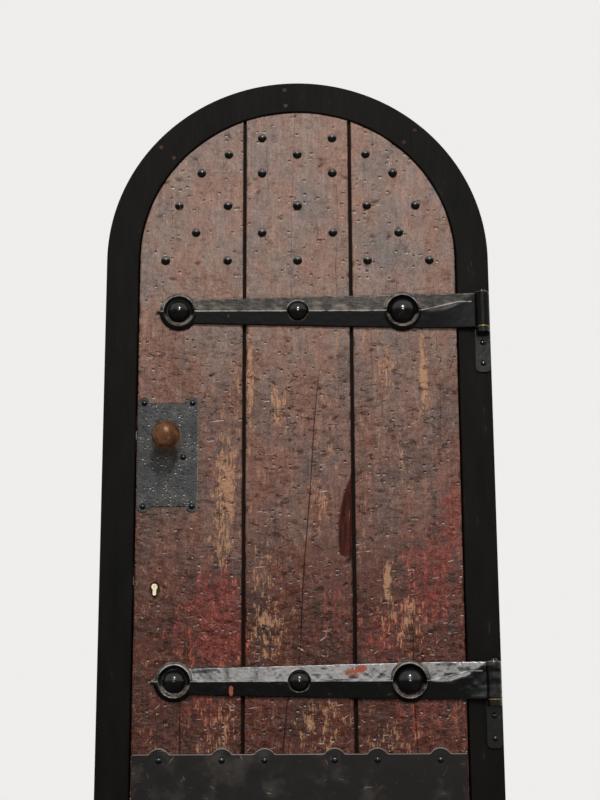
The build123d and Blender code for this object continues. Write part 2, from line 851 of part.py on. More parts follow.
def kick_plate():
    """Steel plate across the bottom, with a round lobe at each upper rivet."""
    top = leaf_bottom + kick_height
    width = leaf_width - 2 * kick_margin
    outline = Pos(0, (leaf_bottom + top) / 2) * Rectangle(width, kick_height)
    lobe_count = 2 * len(kick_rivets)
    for x, z in kick_rivet_places()[:lobe_count]:
        outline += Pos(x, z) * Circle(lobe_radius)
    corners = [v for v in outline.vertices() if abs(v.Y - top) < 0.01 and abs(v.X) < width / 2 - 1]
    outline = fillet(corners, lobe_fillet)
    plate = slab(outline, leaf_front - kick_thickness, leaf_front)
    plate = chamfer(plate.faces().sort_by(Axis.Y)[0].edges(), kick_arris)
    for x, z in kick_rivet_places():
        plate -= rod_y(x, z, leaf_front - kick_thickness, leaf_front,
                       kick_rivet_shank + hole_clearance)
    return plate


def kick_plate_rivets():
    """Round-headed rivets of the kick plate."""
    face = leaf_front - kick_thickness
    return [dome(x, z, face, kick_rivet_radius, kick_rivet_height, kick_rivet_shank,
                 face + kick_rivet_length) for x, z in kick_rivet_places()]


# Lock plate, knob and latch


def plate_rivet_places():
    """The four lug rivets and the small one beside the knob."""
    reach = lock_plate_width / 2 - lug_plate_radius
    top = lock_plate_z + lock_plate_height / 2
    low = lock_plate_z - lock_plate_height / 2
    places = [(lock_plate_x + side * reach, z) for side in (-1, 1) for z in (top, low)]
    places.append((knob_x + plate_stud_offset[0], knob_z + plate_stud_offset[1]))
    return places


def lock_plate():
    """Iron plate behind the knob, with a lug for each corner rivet."""
    outline = Pos(lock_plate_x, lock_plate_z) * Rectangle(lock_plate_width, lock_plate_height)
    for x, z in plate_rivet_places()[:4]:
        outline += Pos(x, z) * Circle(lug_plate_radius)
    plate = slab(outline, plate_front, leaf_front)
    plate = chamfer(plate.faces().sort_by(Axis.Y)[0].edges(), lock_plate_arris)
    for x, z in plate_rivet_places():
        plate -= rod_y(x, z, plate_front, leaf_front, plate_rivet_shank + hole_clearance)
    plate -= rod_y(knob_x, knob_z, plate_front, leaf_front, spindle_hole_radius)
    return plate


def lock_plate_rivets():
    """Round-headed rivets of the lock plate."""
    return [dome(x, z, plate_front, plate_rivet_radius, plate_rivet_height, plate_rivet_shank,
                 plate_front + plate_rivet_length) for x, z in plate_rivet_places()]


def rose(y, radius, outward):
    """A turned rose lying on the face at y, bored for the knob's neck."""
    bore = knob_neck_radius + running_clearance
    profile = ((bore, 0), (radius, 0), (radius, rose_rim), (radius * 0.86, rose_rim + 1.0),
               (radius * 0.62, rose_thickness - 2.0), (radius * 0.5, rose_thickness),
               (bore, rose_thickness))
    profile = [(r, reach * outward) for r, reach in profile]
    return turned(knob_x, knob_z, y, profile)


def knob(face, reach, ball_radius, outward):
    """A ball knob with its neck and collar, and a square socket for the spindle.

    The neck starts at the face at y and turns in the rose. Outward is 1 in front, -1 behind.
    """
    neck = knob_neck_radius
    collar = knob_collar_radius
    seat = rose_thickness + 0.3
    profile = ((0, 0.3), (neck, 0.3), (neck, seat), (collar, seat), (collar, seat + knob_collar * 0.5),
               (neck, seat + knob_collar), (neck * 0.8, reach - ball_radius * 0.8), (0, reach))
    profile = [(r, distance * outward) for r, distance in profile]
    solid = turned(knob_x, knob_z, face, profile)
    solid += Pos(knob_x, face - reach * outward, knob_z) * Sphere(ball_radius)
    end = face - (0.3 + spindle_socket) * outward
    low, high = sorted((face, end))
    half = spindle_width / 2 + running_clearance
    return solid - block(knob_x - half, knob_x + half, low, high, knob_z - half, knob_z + half)


def outer_knob():
    """The bronze ball outside."""
    return knob(plate_front, knob_reach - lock_plate_thickness, knob_ball_radius, 1)


def inner_knob():
    """The smaller ball inside."""
    return knob(leaf_back, inner_reach, inner_ball_radius, -1)


def knob_spindle():
    """The square bar that joins both knobs through the latch."""
    half = spindle_width / 2
    return block(knob_x - half, knob_x + half, plate_front - spindle_socket,
                 leaf_back + spindle_socket, knob_z - half, knob_z + half)


def latch_z_low():
    """The underside of the latch's case."""
    return latch_z + latch_height / 2 + 8.0 - latch_case_height


def case_space(edge, depth, low, high):
    """The mortise for a lock case."""
    half = latch_case_thickness / 2 + hole_clearance
    return block(edge, edge + depth + hole_clearance, leaf_middle - half, leaf_middle + half,
                 low - hole_clearance, high + hole_clearance)


def fore_end_space(low, high):
    """The shallow recess for a fore-end."""
    return block(-leaf_half, -leaf_half + fore_end_thickness, leaf_middle - fore_end_width / 2,
                 leaf_middle + fore_end_width / 2, low - fore_end_spare, high + fore_end_spare)


def lock_case(depth, low, high):
    """A hollow case, open at the leaf's edge."""
    half = latch_case_thickness / 2
    edge = -leaf_half + fore_end_thickness
    shell = block(edge, -leaf_half + depth, leaf_middle - half, leaf_middle + half, low, high)
    return shell - block(edge, -leaf_half + depth - case_wall, leaf_middle - half + case_wall,
                         leaf_middle + half - case_wall, low + case_wall, high - case_wall)


def latch_case():
    """The latch's case, with bearing holes for the hub."""
    low = latch_z_low()
    case = lock_case(latch_case_depth, low, low + latch_case_height)
    half = latch_case_thickness / 2
    return case - rod_y(knob_x, knob_z, leaf_middle - half, leaf_middle + half,
                        hub_radius + running_clearance)


def fore_end(low, high, slot_z, slot_height):
    """The strip that closes a lock at the leaf's edge."""
    strip = fore_end_space(low, high)
    half = (latch_case_thickness - 2 * case_wall) / 2
    strip -= block(-leaf_half, -leaf_half + fore_end_thickness, leaf_middle - half,
                   leaf_middle + half, slot_z - slot_height / 2 - slide_clearance,
                   slot_z + slot_height / 2 + slide_clearance)
    for z in fore_screw_heights():
        if low - fore_end_spare < z < high + fore_end_spare:
            strip -= rod_x(leaf_middle, z, -leaf_half, -leaf_half + fore_end_thickness,
                           fore_screw_radius + hole_clearance)
    return strip


def latch_fore_end():
    """Fore-end of the knob latch."""
    low = latch_z_low()
    return fore_end(low, low + latch_case_height, latch_z, latch_height)


def fore_screw_heights():
    """Two screws in each fore-end."""
    inset = fore_end_spare / 2
    low = latch_z_low()
    return (low - inset, low + latch_case_height + inset, dead_low() - inset, dead_high() + inset)


def fore_end_screws():
    """Screws of both fore-ends."""
    edge = -leaf_half
    return [rod_x(leaf_middle, z, edge, edge + fore_end_thickness + fore_screw_length,
                  fore_screw_radius) for z in fore_screw_heights()]


def horn_swing():
    """Half of the hub's turn, from the latch's throw and the horn's radius."""
    return degrees(atan2(latch_throw / 2, (horn_radius ** 2 - (latch_throw / 2) ** 2) ** 0.5))


def latch_follower():
    """The hub on the spindle, with its horn turned back to hold the latch drawn."""
    half = latch_case_thickness / 2
    inner = half - case_wall - slide_clearance
    hub = rod_y(knob_x, knob_z, leaf_middle - half, leaf_middle + half, hub_radius)
    arm = block(-horn_width / 2, horn_width / 2, -inner, inner, 0, horn_radius)
    tip = rod_y(0, horn_radius, -inner, inner, horn_tip_radius)
    horn = Pos(knob_x, leaf_middle, knob_z) * Rot(0, horn_swing(), 0) * (arm + tip)
    socket = spindle_width / 2 + running_clearance
    square = block(knob_x - socket, knob_x + socket, leaf_middle - half, leaf_middle + half,
                   knob_z - socket, knob_z + socket)
    return hub + horn - square


def latch_bolt():
    """The sprung latch, drawn back flush with the leaf's edge."""
    nose = -leaf_half + bolt_recess
    half = latch_case_thickness / 2 - case_wall - slide_clearance
    low = latch_z - latch_height / 2
    with BuildSketch(Plane.XY) as plan:
        with BuildLine():
            Polyline((nose, leaf_middle - half), (nose + latch_head, leaf_middle - half),
                     (nose + latch_head, leaf_middle + half), (nose + latch_throw, leaf_middle + half),
                     (nose, leaf_middle - half + 2.0), close=True)
        make_face()
    head = Pos(0, 0, low) * extrude(plan.sketch, amount=latch_height)
    lug_face = knob_x + latch_throw / 2 + horn_tip_radius + horn_play
    tail_low = knob_z + horn_radius + horn_tip_radius + 1.0
    tail = block(nose + latch_head, lug_face + latch_lug, leaf_middle - latch_tail_thickness / 2,
                 leaf_middle + latch_tail_thickness / 2, tail_low, tail_low + latch_tail_height)
    lug = block(lug_face, lug_face + latch_lug, leaf_middle - latch_tail_thickness / 2,
                leaf_middle + latch_tail_thickness / 2, knob_z + horn_radius - 2.5, tail_low)
    return head + tail + lug


# Deadlock and cylinder


def dead_low():
    """The underside of the deadlock's case."""
    return cylinder_z - dead_case_below


def dead_high():
    """The top of the deadlock's case."""
    return cylinder_z + dead_case_above


def cylinder_outline(spread):
    """The keyhole-shaped outline of the cylinder, widened by spread."""
    head = Pos(cylinder_x, cylinder_z) * Circle(cylinder_head_radius + spread)
    foot_z = cylinder_z + cylinder_head_radius - cylinder_height + cylinder_foot_radius
    foot = Pos(cylinder_x, foot_z) * Circle(cylinder_foot_radius + spread)
    web = Pos(cylinder_x, (cylinder_z + foot_z) / 2) * Rectangle(
        2 * (cylinder_foot_radius + spread), cylinder_z - foot_z)
    return head + web + foot


def deadlock_case():
    """The deadlock's case, pierced for the cylinder."""
    case = lock_case(dead_case_depth, dead_low(), dead_high())
    return case - slab(cylinder_outline(hole_clearance), leaf_front, leaf_back)


def deadlock_fore_end():
    """Fore-end of the deadlock, with a hole for the cylinder's screw."""
    strip = fore_end(dead_low(), dead_high(), dead_z, dead_height)
    return strip - rod_x(leaf_middle, cylinder_screw_z(), -leaf_half,
                         -leaf_half + fore_end_thickness, cylinder_screw_radius + hole_clearance)


def deadbolt():
    """The deadbolt, drawn back, with the notch that the cam works in."""
    nose = -leaf_half + bolt_recess
    half = latch_case_thickness / 2 - case_wall - slide_clearance
    low = cylinder_z + dead_rise
    bar = block(nose, nose + dead_length, leaf_middle - half, leaf_middle + half,
                low, low + dead_height)
    middle = cylinder_x + dead_throw / 2
    return bar - block(middle - talon_width / 2, middle + talon_width / 2, leaf_middle - half,
                       leaf_middle + half, low, low + talon_depth)


def cylinder_screw_z():
    """The retaining screw passes through the foot of the cylinder."""
    return cylinder_z + cylinder_head_radius - cylinder_height + cylinder_foot_radius


def lock_cylinder():
    """The cylinder's body, bored for the plug and slotted for the cam."""
    front = leaf_front - cylinder_proud
    back = leaf_back + cylinder_proud
    body = slab(cylinder_outline(0.0), front, back)
    body -= rod_y(cylinder_x, cylinder_z, front, back, plug_radius + running_clearance)
    body -= rod_y(cylinder_x, cylinder_z, leaf_middle - cam_slot / 2, leaf_middle + cam_slot / 2,
                  cam_radius + cam_space)
    return body - rod_x(leaf_middle, cylinder_screw_z(), cylinder_x - cylinder_head_radius,
                        cylinder_x + cylinder_head_radius, cylinder_screw_radius + hole_clearance)


def cylinder_plug():
    """The plug with its keyway and cam, the cam hanging down."""
    front = leaf_front - cylinder_proud
    back = leaf_back + cylinder_proud
    core = rod_y(cylinder_x, cylinder_z, front, back, plug_radius)
    half = cam_width / 2
    blade = block(cylinder_x - half, cylinder_x + half, leaf_middle - cam_thickness / 2,
                  leaf_middle + cam_thickness / 2, cylinder_z - cam_radius + 1.0, cylinder_z)
    plug = core + blade
    return plug - block(cylinder_x - keyway_width / 2, cylinder_x + keyway_width / 2, front,
                        front + keyway_depth, cylinder_z - plug_radius, cylinder_z + plug_radius * 0.6)


def cylinder_screw():
    """The long screw that holds the cylinder."""
    return rod_x(leaf_middle, cylinder_screw_z(), -leaf_half, cylinder_x + cylinder_foot_radius,
                 cylinder_screw_radius)


# All the pieces


def pieces():
    """Every named piece: one solid, or a list of identical ones."""
    made = {
        "left_jamb": left_jamb(),
        "right_jamb": right_jamb(),
        "sill": sill(),
        "frame_pegs": frame_pegs(),
        "frame_dowels": frame_dowels(),
        "latch_strike": strike_plate(latch_z, latch_height),
        "deadbolt_strike": strike_plate(dead_z, dead_height),
        "strike_screws": strike_screws(),
        "pintle_screws": pintle_screws(),
        "eye_washers": eye_washers(),
        "plank_left": plank_left(),
        "plank_middle": plank_middle(),
        "plank_right": plank_right(),
        "tongue_left": tongue(-1),
        "tongue_right": tongue(1),
        "ledge_upper": ledge(strap_upper_z),
        "ledge_middle": ledge(ledge_middle_z),
        "ledge_lower": ledge(strap_lower_z),
        "brace_upper": brace(ledge_middle_z, strap_upper_z),
        "brace_lower": brace(strap_lower_z, ledge_middle_z),
        "ledge_screws": ledge_screws(),
        "studs": studs(),
        "left_boss_bolts": boss_bolts(boss_left, dome_left_radius),
        "middle_boss_bolts": boss_bolts(0.0, dome_middle_radius),
        "right_boss_bolts": boss_bolts(boss_right, dome_right_radius),
        "bolt_washers": bolt_washers(),
        "bolt_nuts": bolt_nuts(),
        "kick_plate": kick_plate(),
        "kick_plate_rivets": kick_plate_rivets(),
        "lock_plate": lock_plate(),
        "lock_plate_rivets": lock_plate_rivets(),
        "outer_rose": rose(plate_front, rose_radius, 1),
        "inner_rose": rose(leaf_back, inner_rose_radius, -1),
        "outer_knob": outer_knob(),
        "inner_knob": inner_knob(),
        "knob_spindle": knob_spindle(),
        "latch_case": latch_case(),
        "latch_fore_end": latch_fore_end(),
        "latch_follower": latch_follower(),
        "latch_bolt": latch_bolt(),
        "fore_end_screws": fore_end_screws(),
        "deadlock_case": deadlock_case(),
        "deadlock_fore_end": deadlock_fore_end(),
        "deadbolt": deadbolt(),
        "lock_cylinder": lock_cylinder(),
        "cylinder_plug": cylinder_plug(),
        "cylinder_screw": cylinder_screw(),
    }
    for number in range(segment_count):
        made[f"head_segment_{number + 1}"] = head_segment(number)
    for number in range(len(backing_splits) + 1):
        made[f"backing_board_{number + 1}"] = backing_board(number)
    for name, z in strap_heights.items():
        made[f"strap_{name}"] = strap(z)
        made[f"pintle_{name}"] = pintle(z)
    return made


def main():
    """Write one file for each piece and print the sizes that others rely on."""
    os.makedirs("parts", exist_ok=True)
    for name, shape in pieces().items():
        solid = Compound(children=shape) if isinstance(shape, list) else shape
        export_step(solid, f"parts/{name}.step")
    print(f"springing {springing}, straps {strap_lower_z} and {strap_upper_z}")
    print(f"knob at {knob_x}, {knob_z}; cylinder at {cylinder_x}, {cylinder_z}")
    print(f"hinge axis {pin_x}, {eye_y}; horn swing {horn_swing():.3f} each way")


main()
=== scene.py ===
# %% [markdown]
# An arched plank door with forged strap hinges, hung in its own timber frame.
# The measured model gives every piece its place and size. This file gives each one its surface:
# worn oak planks, hammered black iron, a bronze knob and a scuffed steel plate.
# Everything is in metres. X runs across the door, Z is up, and the outside faces -Y.

import bmesh
import bpy
import numpy as np
from math import cos, pi, radians, sin
from mathutils import Matrix, Vector
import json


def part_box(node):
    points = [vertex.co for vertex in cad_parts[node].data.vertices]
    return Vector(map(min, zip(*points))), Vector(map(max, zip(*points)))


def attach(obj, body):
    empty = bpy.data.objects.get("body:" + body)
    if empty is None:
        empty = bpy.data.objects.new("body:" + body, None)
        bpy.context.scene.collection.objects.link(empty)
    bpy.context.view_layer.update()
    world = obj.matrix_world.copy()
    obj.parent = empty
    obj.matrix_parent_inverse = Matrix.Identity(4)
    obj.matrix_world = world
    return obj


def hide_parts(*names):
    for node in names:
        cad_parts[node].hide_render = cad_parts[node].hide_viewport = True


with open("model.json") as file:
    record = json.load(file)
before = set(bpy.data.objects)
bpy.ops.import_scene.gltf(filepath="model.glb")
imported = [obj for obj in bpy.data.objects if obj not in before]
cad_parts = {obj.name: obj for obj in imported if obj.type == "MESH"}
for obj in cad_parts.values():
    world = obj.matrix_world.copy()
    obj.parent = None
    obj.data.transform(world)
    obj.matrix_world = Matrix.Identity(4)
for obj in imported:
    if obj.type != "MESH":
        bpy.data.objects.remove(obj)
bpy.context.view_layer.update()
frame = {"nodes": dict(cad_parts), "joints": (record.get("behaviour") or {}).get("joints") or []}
nodes = frame["nodes"]

MM = 0.001
leaf_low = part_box("plank_left")[0]
leaf_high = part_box("plank_right")[1]
leaf_half = leaf_high.x
leaf_front = leaf_low.y
leaf_back = leaf_high.y
leaf_bottom = leaf_low.z
arch_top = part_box("plank_middle")[1].z
springing = arch_top - leaf_half
print("leaf", round(2 * leaf_half, 4), "wide,", round(arch_top - leaf_bottom, 4), "high")

# %% [markdown]
# A material is a tree of nodes, and most of its work is arithmetic: one pattern times another,
# one mask taken from 1. Written out node by node, that hides the idea. So one small class holds
# a socket and lets Python's own signs add the Math nodes, and one method adds every other node.

# %% A socket that does sums


class Wire:
    """One socket of a node tree. Sums on it add Math nodes."""

    def __init__(self, tree, socket):
        self.tree = tree
        self.socket = socket

    def sum(self, operation, first, second):
        return self.tree.add("ShaderNodeMath", "Value", {"operation": operation}, {0: first, 1: second})

    def __add__(self, other):
        return self.sum("ADD", self, other)

    def __sub__(self, other):
        return self.sum("SUBTRACT", self, other)

    def __rsub__(self, other):
        return self.sum("SUBTRACT", other, self)

    def __mul__(self, other):
        return self.sum("MULTIPLY", self, other)

    __radd__ = __add__
    __rmul__ = __mul__

    def __abs__(self):
        return self.sum("ABSOLUTE", self, 0.0)

    def at_least(self, other):
        return self.sum("MAXIMUM", self, other)


class Tree:
    """A node tree under construction."""

    def __init__(self, tree):
        self.tree = tree

    def socket(self, sockets, name):
        """A socket by its number or by the name it shows."""
        if isinstance(name, int):
            return sockets[name]
        return next(s for s in sockets if s.enabled and s.name == name)

    def feed(self, socket, value):
        """Link a socket to a wire, or give it a plain value."""
        if isinstance(value, Wire):
            self.tree.links.new(value.socket, socket)
        else:
            socket.default_value = value

    def add(self, kind, output, settings, inputs):
        """Add a node: its settings first, then the values or links of its sockets."""
        node = self.tree.nodes.new(kind)
        for name, value in settings.items():
            if name == "stops":
                self.set_stops(node.color_ramp, value)
            else:
                setattr(node, name, value)
        for name, value in inputs.items():
            self.feed(self.socket(node.inputs, name), value)
        return Wire(self, self.socket(node.outputs, output))

    def set_stops(self, ramp, stops):
        """Give a colour ramp its stops, each a place and a colour."""
        while len(ramp.elements) < len(stops):
            ramp.elements.new(1.0)
        for element, (place, colour) in zip(ramp.elements, stops):
            element.position = place
            element.color = colour


def paint(red, green, blue):
    """A colour as it is seen on a screen, from 0 to 255, in the linear values that light uses."""
    tones = [((c / 255 + 0.055) / 1.055) ** 2.4 if c > 10 else c / 255 / 12.92 for c in (red, green, blue)]
    return (*tones, 1.0)


# %% [markdown]
# A finish is a material: a tree that ends in one Principled shader. The helpers below are the
# few patterns that every finish here needs: noise, cells, stretched coordinates, soft steps,
# mixed colours and bumps. All of them read Object coordinates, so a pattern stays on its piece
# when the door swings, and keeps its real size in metres.

# %% A material and its patterns


class Finish(Tree):
    """A material whose surface comes from patterns."""

    def __init__(self, name):
        self.material = bpy.data.materials.new(name)
        self.material.use_nodes = True
        super().__init__(self.material.node_tree)
        self.shader = self.tree.nodes["Principled BSDF"]
        self.place = self.add("ShaderNodeTexCoord", "Object", {}, {})

    def set(self, **inputs):
        """Give the shader its values and links, with _ for each space in a name."""
        for name, value in inputs.items():
            self.feed(self.socket(self.shader.inputs, name.replace("_", " ")), value)

    def stretch(self, across=1.0, up=1.0, shift=(0.0, 0.0, 0.0)):
        """Object coordinates scaled across and up. A small number draws a pattern out."""
        inputs = {"Vector": self.place, "Scale": (across, 1.0, up), "Location": shift}
        return self.add("ShaderNodeMapping", "Vector", {}, inputs)

    def slanted(self, slant, length):
        """Object coordinates drawn out to a length, along a line at a slant from level."""
        inputs = {"Vector": self.place, "Rotation": (0.0, slant, 0.0), "Scale": (length, 1.0, 1.0)}
        return self.add("ShaderNodeMapping", "Vector", {"vector_type": "TEXTURE"}, inputs)

    def noise(self, vector, scale, detail=3.0, roughness=0.5, distortion=0.0):
        """Cloudy values around a half."""
        inputs = {"Vector": vector, "Scale": scale, "Detail": detail, "Roughness": roughness,
                  "Distortion": distortion}
        return self.add("ShaderNodeTexNoise", "Fac", {}, inputs)

    def cells(self, vector, scale, output="Distance", feature="F1"):
        """Scattered cells: the distance to each one's middle, or its own colour."""
        return self.add("ShaderNodeTexVoronoi", output, {"feature": feature},
                        {"Vector": vector, "Scale": scale})

    def step(self, value, low, high):
        """0 below low, 1 above high, and smooth between them."""
        inputs = {"Value": value, "From Min": low, "From Max": high}
        return self.add("ShaderNodeMapRange", "Result", {"interpolation_type": "SMOOTHSTEP"}, inputs)

    def mix(self, first, second, factor, kind="MIX"):
        """Lay a second colour over the first."""
        settings = {"data_type": "RGBA", "blend_type": kind}
        return self.add("ShaderNodeMix", "Result", settings, {"Factor": factor, "A": first, "B": second})

    def pits(self, vector, scale, share, size):
        """Scattered pits: 1 inside one, 0 between them. A share of the cells stays empty."""
        distance = self.cells(vector, scale)
        chance = self.part("X", self.cells(vector, scale, "Color"))
        ragged = distance + (self.noise(self.place, scale * 4.0, detail=2.0) - 0.5) * 0.35
        return (1.0 - self.step(ragged, size * 0.8, size * 1.15)) * self.step(chance, share, share + 0.05)

    def ramp(self, value, *stops):
        """Colours along a value. Each stop is its place, its red, its green and its blue."""
        stops = [(place, paint(*colour)) for place, *colour in stops]
        return self.add("ShaderNodeValToRGB", "Color", {"stops": stops}, {"Fac": value})

    def stored(self, name):
        """A number that the piece's own mesh carries."""
        return self.add("ShaderNodeAttribute", "Fac", {"attribute_name": name}, {})

    def part(self, name, vector=None):
        """The X, Y or Z of a vector, or of the Object coordinates."""
        inputs = {"Vector": vector or self.place}
        return self.add("ShaderNodeSeparateXYZ", name, {}, inputs)

    def facing(self, name):
        """The X, Y or Z of the direction that the mesh faces, before any relief."""
        return self.part(name, self.add("ShaderNodeTexCoord", "Normal", {}, {}))

    def bump(self, height, distance, below=None):
        """A relief, as high as distance where height is 1, over another relief."""
        inputs = {"Height": height, "Distance": distance, "Strength": 1.0}
        if below is not None:
            inputs["Normal"] = below
        return self.add("ShaderNodeBump", "Normal", {}, inputs)


# %% [markdown]
# Random shapes need numbers that come out the same on every run. A lattice of random values,
# blended smoothly between its corners, gives a rolling surface; a few of them added at smaller
# and smaller sizes give a worn one.

# %% Rolling surfaces from a seed
# After so many corners the surface repeats
LATTICE = 256


def rolling(u, v, seed):
    """A smooth random surface between -1 and 1, with one corner for each unit of u and v."""
    table = np.random.default_rng(seed).uniform(-1.0, 1.0, (LATTICE, LATTICE))
    col = np.floor(u).astype(int)
    row = np.floor(v).astype(int)
    fu = u - col
    fv = v - row
    fu = fu * fu * (3 - 2 * fu)
    fv = fv * fv * (3 - 2 * fv)
    col, col_next = col % LATTICE, (col + 1) % LATTICE
    row, row_next = row % LATTICE, (row + 1) % LATTICE
    low = table[col, row] * (1 - fu) + table[col_next, row] * fu
    high = table[col, row_next] * (1 - fu) + table[col_next, row_next] * fu
    return low * (1 - fv) + high * fv


def worn(u, v, seed, layers):
    """Rolling surfaces added together, each half as wide and half as high as the last."""
    total = np.zeros_like(u)
    for layer in range(layers):
        total += rolling(u * 2 ** layer, v * 2 ** layer, seed + layer) / 2 ** layer
    return total


sample = worn(np.arange(0.0, 9.0, 0.1), np.zeros(90), 1, 3)
print("a worn line runs from", round(sample.min(), 2), "to", round(sample.max(), 2))

# %% [markdown]
# The photograph looks up at the door from low down. The round head, the upright joints, the rows
# of nails and the right edge were measured in it, and one camera puts them all where they show:
# 4.7 m away, close to the ground, with a lens of about 74 mm.

# %% Camera
eye = Vector((-0.0168, -4.706, 0.170))
yaw, pitch, roll = radians(0.273), radians(13.796), radians(-0.256)
ahead = Vector((sin(yaw) * cos(pitch), cos(yaw) * cos(pitch), sin(pitch)))
level = Vector((cos(yaw), -sin(yaw), 0.0))
rise = level.cross(ahead)
right = cos(roll) * level + sin(roll) * rise
up = cos(roll) * rise - sin(roll) * level

camera_data = bpy.data.cameras.new("camera")
camera_data.lens = 74.3
camera_data.sensor_width = 36.0
camera = bpy.data.objects.new("camera", camera_data)
camera.matrix_world = Matrix.Translation(eye) @ Matrix((right, up, -ahead)).transposed().to_4x4()
bpy.context.scene.collection.objects.link(camera)
bpy.context.scene.camera = camera
bpy.context.scene.view_settings.view_transform = "Standard"
print("camera", tuple(round(v, 3) for v in eye))

# %% [markdown]
# A studio stands in for the sun: one lamp high in front and a little to the right, so that each
# ledge and nick shows a bright top and a dark underside. A wide strip, less high, is there for
# the lower strap, whose upper bevel mirrors it as a bright band. A third lamp stands behind,
# because the boards on the back are worth seeing too. Together they are as strong as a plain
# white day, so a colour renders about as it is written.

# %% Lamps
def lamp(name, size, power, place, target):
    """A soft lamp of a given width, height and power that faces a target."""
    data = bpy.data.lights.new(name, "AREA")
    data.shape = "RECTANGLE"
    data.size, data.size_y = size
    data.energy = power
    towards = (target - place).to_track_quat("-Z", "Y").to_matrix().to_4x4()
    source = bpy.data.objects.new(name, data)
    source.matrix_world = Matrix.Translation(place) @ towards
    bpy.context.scene.collection.objects.link(source)


door_middle = Vector((0.0, leaf_front, 1.2))
lamp("key_lamp", (0.7, 0.7), 300.0, door_middle + Vector((0.35, -5.4, 3.8)), door_middle)
lamp("strip_lamp", (1.9, 0.3), 30.0, Vector((0.13, -4.7, 2.27)), Vector((0.0, leaf_front, 0.6)))
lamp("back_lamp", (2.2, 2.2), 340.0, door_middle + Vector((1.6, 5.6, 3.4)), door_middle)
print("three lamps round", tuple(round(v, 3) for v in door_middle))

# %% [markdown]
# The world has to be two things at once. The camera and anything that mirrors see it as a pale
# backdrop, and as a light it is weak, so that it fills the shade without washing it out. The kind
# of ray chooses between the two strengths. The floor is pale and keeps the door's shadow.

# %% World and floor
world = bpy.data.worlds.new("studio")
world.use_nodes = True
bpy.context.scene.world = world
air = Tree(world.node_tree)
ray = world.node_tree.nodes.new("ShaderNodeLightPath")
seen = Wire(air, ray.outputs["Is Camera Ray"]) + Wire(air, ray.outputs["Is Glossy Ray"])
seen = seen + Wire(air, ray.outputs["Is Transmission Ray"])
fill_strength = 0.2
backdrop_strength = 0.86
strength = seen * (backdrop_strength - fill_strength) + fill_strength
background = world.node_tree.nodes["Background"]
background.inputs["Color"].default_value = (1.0, 0.99, 0.97, 1.0)
air.feed(background.inputs["Strength"], strength)


def shape_object(name, mesh, finish=None):
    """Put a mesh into the scene, with one finish or none."""
    shaped = bpy.data.objects.new(name, mesh)
    bpy.context.scene.collection.objects.link(shaped)
    if finish is not None:
        mesh.materials.append(finish.material)
    return shaped


floor_paint = Finish("pale_floor")
cloud = floor_paint.noise(floor_paint.place, 3.0)
floor_tone = floor_paint.ramp(cloud, (0.3, 222, 220, 216), (0.7, 230, 228, 224))
floor_paint.set(Base_Color=floor_tone, Roughness=0.8)

floor_reach = 14.0
floor_mesh = bpy.data.meshes.new("floor")
floor_corners = [(x * floor_reach, y * floor_reach, 0.0) for x, y in ((-1, -1), (1, -1), (1, 1), (-1, 1))]
floor_mesh.from_pydata(floor_corners, [], [(0, 1, 2, 3)])
floor = shape_object("floor", floor_mesh, floor_paint)
print("a pale world and a floor", 2 * floor_reach, "m wide")

# %% [markdown]
# Sawn oak that nobody has touched since shows long fibres and a broad figure. It is the finish of
# the boards behind, and of the planks' own backs. Its colour comes first, as a function, because
# the face of the door needs it too.

# %% Plain oak colour
def sawn_tone(finish, slant, dark, light):
    """Colour and relief of plain oak with its grain turned to a slant from level, in radians."""
    along = finish.slanted(-slant, 16.0)
    fibre = finish.noise(along, 190.0, detail=5.0, roughness=0.65)
    figure = finish.noise(along, 30.0, detail=4.0, roughness=0.6, distortion=1.2)
    stain = finish.noise(finish.place, 7.0, detail=4.0)
    tone = finish.ramp(figure * 0.6 + stain * 0.4, (0.35, *dark), (0.65, *light))
    tone = finish.mix(tone, paint(44, 31, 22), finish.step(fibre, 0.56, 0.72) * 0.6)
    return tone, fibre + figure


# %% [markdown]
# Oak that has been painted, oiled and rained on for a long time shows several layers at once: a
# film of old stain, red below it, tan bare wood where both have worn off, and a darker colour in
# every hollow. All of them follow the same few patterns, so these come first: fine and coarse
# fibres, mottling, blotches and specks. The planks' meshes carry masks that say where each layer shows.

# %% Weathered oak: its patterns and masks
oak = Finish("weathered_oak_face")
fine = oak.noise(oak.stretch(up=0.3), 330.0, roughness=0.7, distortion=0.3)
coarse = oak.noise(oak.stretch(up=0.07), 100.0, detail=4.0, roughness=0.6, distortion=0.6)
mottle = oak.noise(oak.stretch(up=0.6), 48.0, detail=5.0, roughness=0.7)
blotch = oak.noise(oak.stretch(up=0.45), 8.0, detail=4.0, roughness=0.6)
flecks = oak.noise(oak.stretch(up=0.16), 300.0, roughness=0.6)
speck = oak.noise(oak.place, 340.0, roughness=0.75)
streak = fine * 0.33 + coarse * 0.14 + mottle * 0.33 + speck * 0.3 - 0.05
height = oak.part("Z") + (blotch - 0.5) * 0.5
MASKS = ("bare", "red", "hollow", "torn", "front", "crack", "check")
bare, red, hollow, torn, front, from_crack, from_check = (oak.stored(name) for name in MASKS)
print("oak patterns:", len(oak.tree.nodes), "nodes")

# %% [markdown]
# The film of stain goes from pale and dry at the top to dark and red near the ground, and at each
# height the dark fibres are stronger in colour than the pale ones. So there are three ramps over
# the fibres, and the height chooses between them. The old red and the bare wood lie over it, with
# edges as ragged as the fibres.

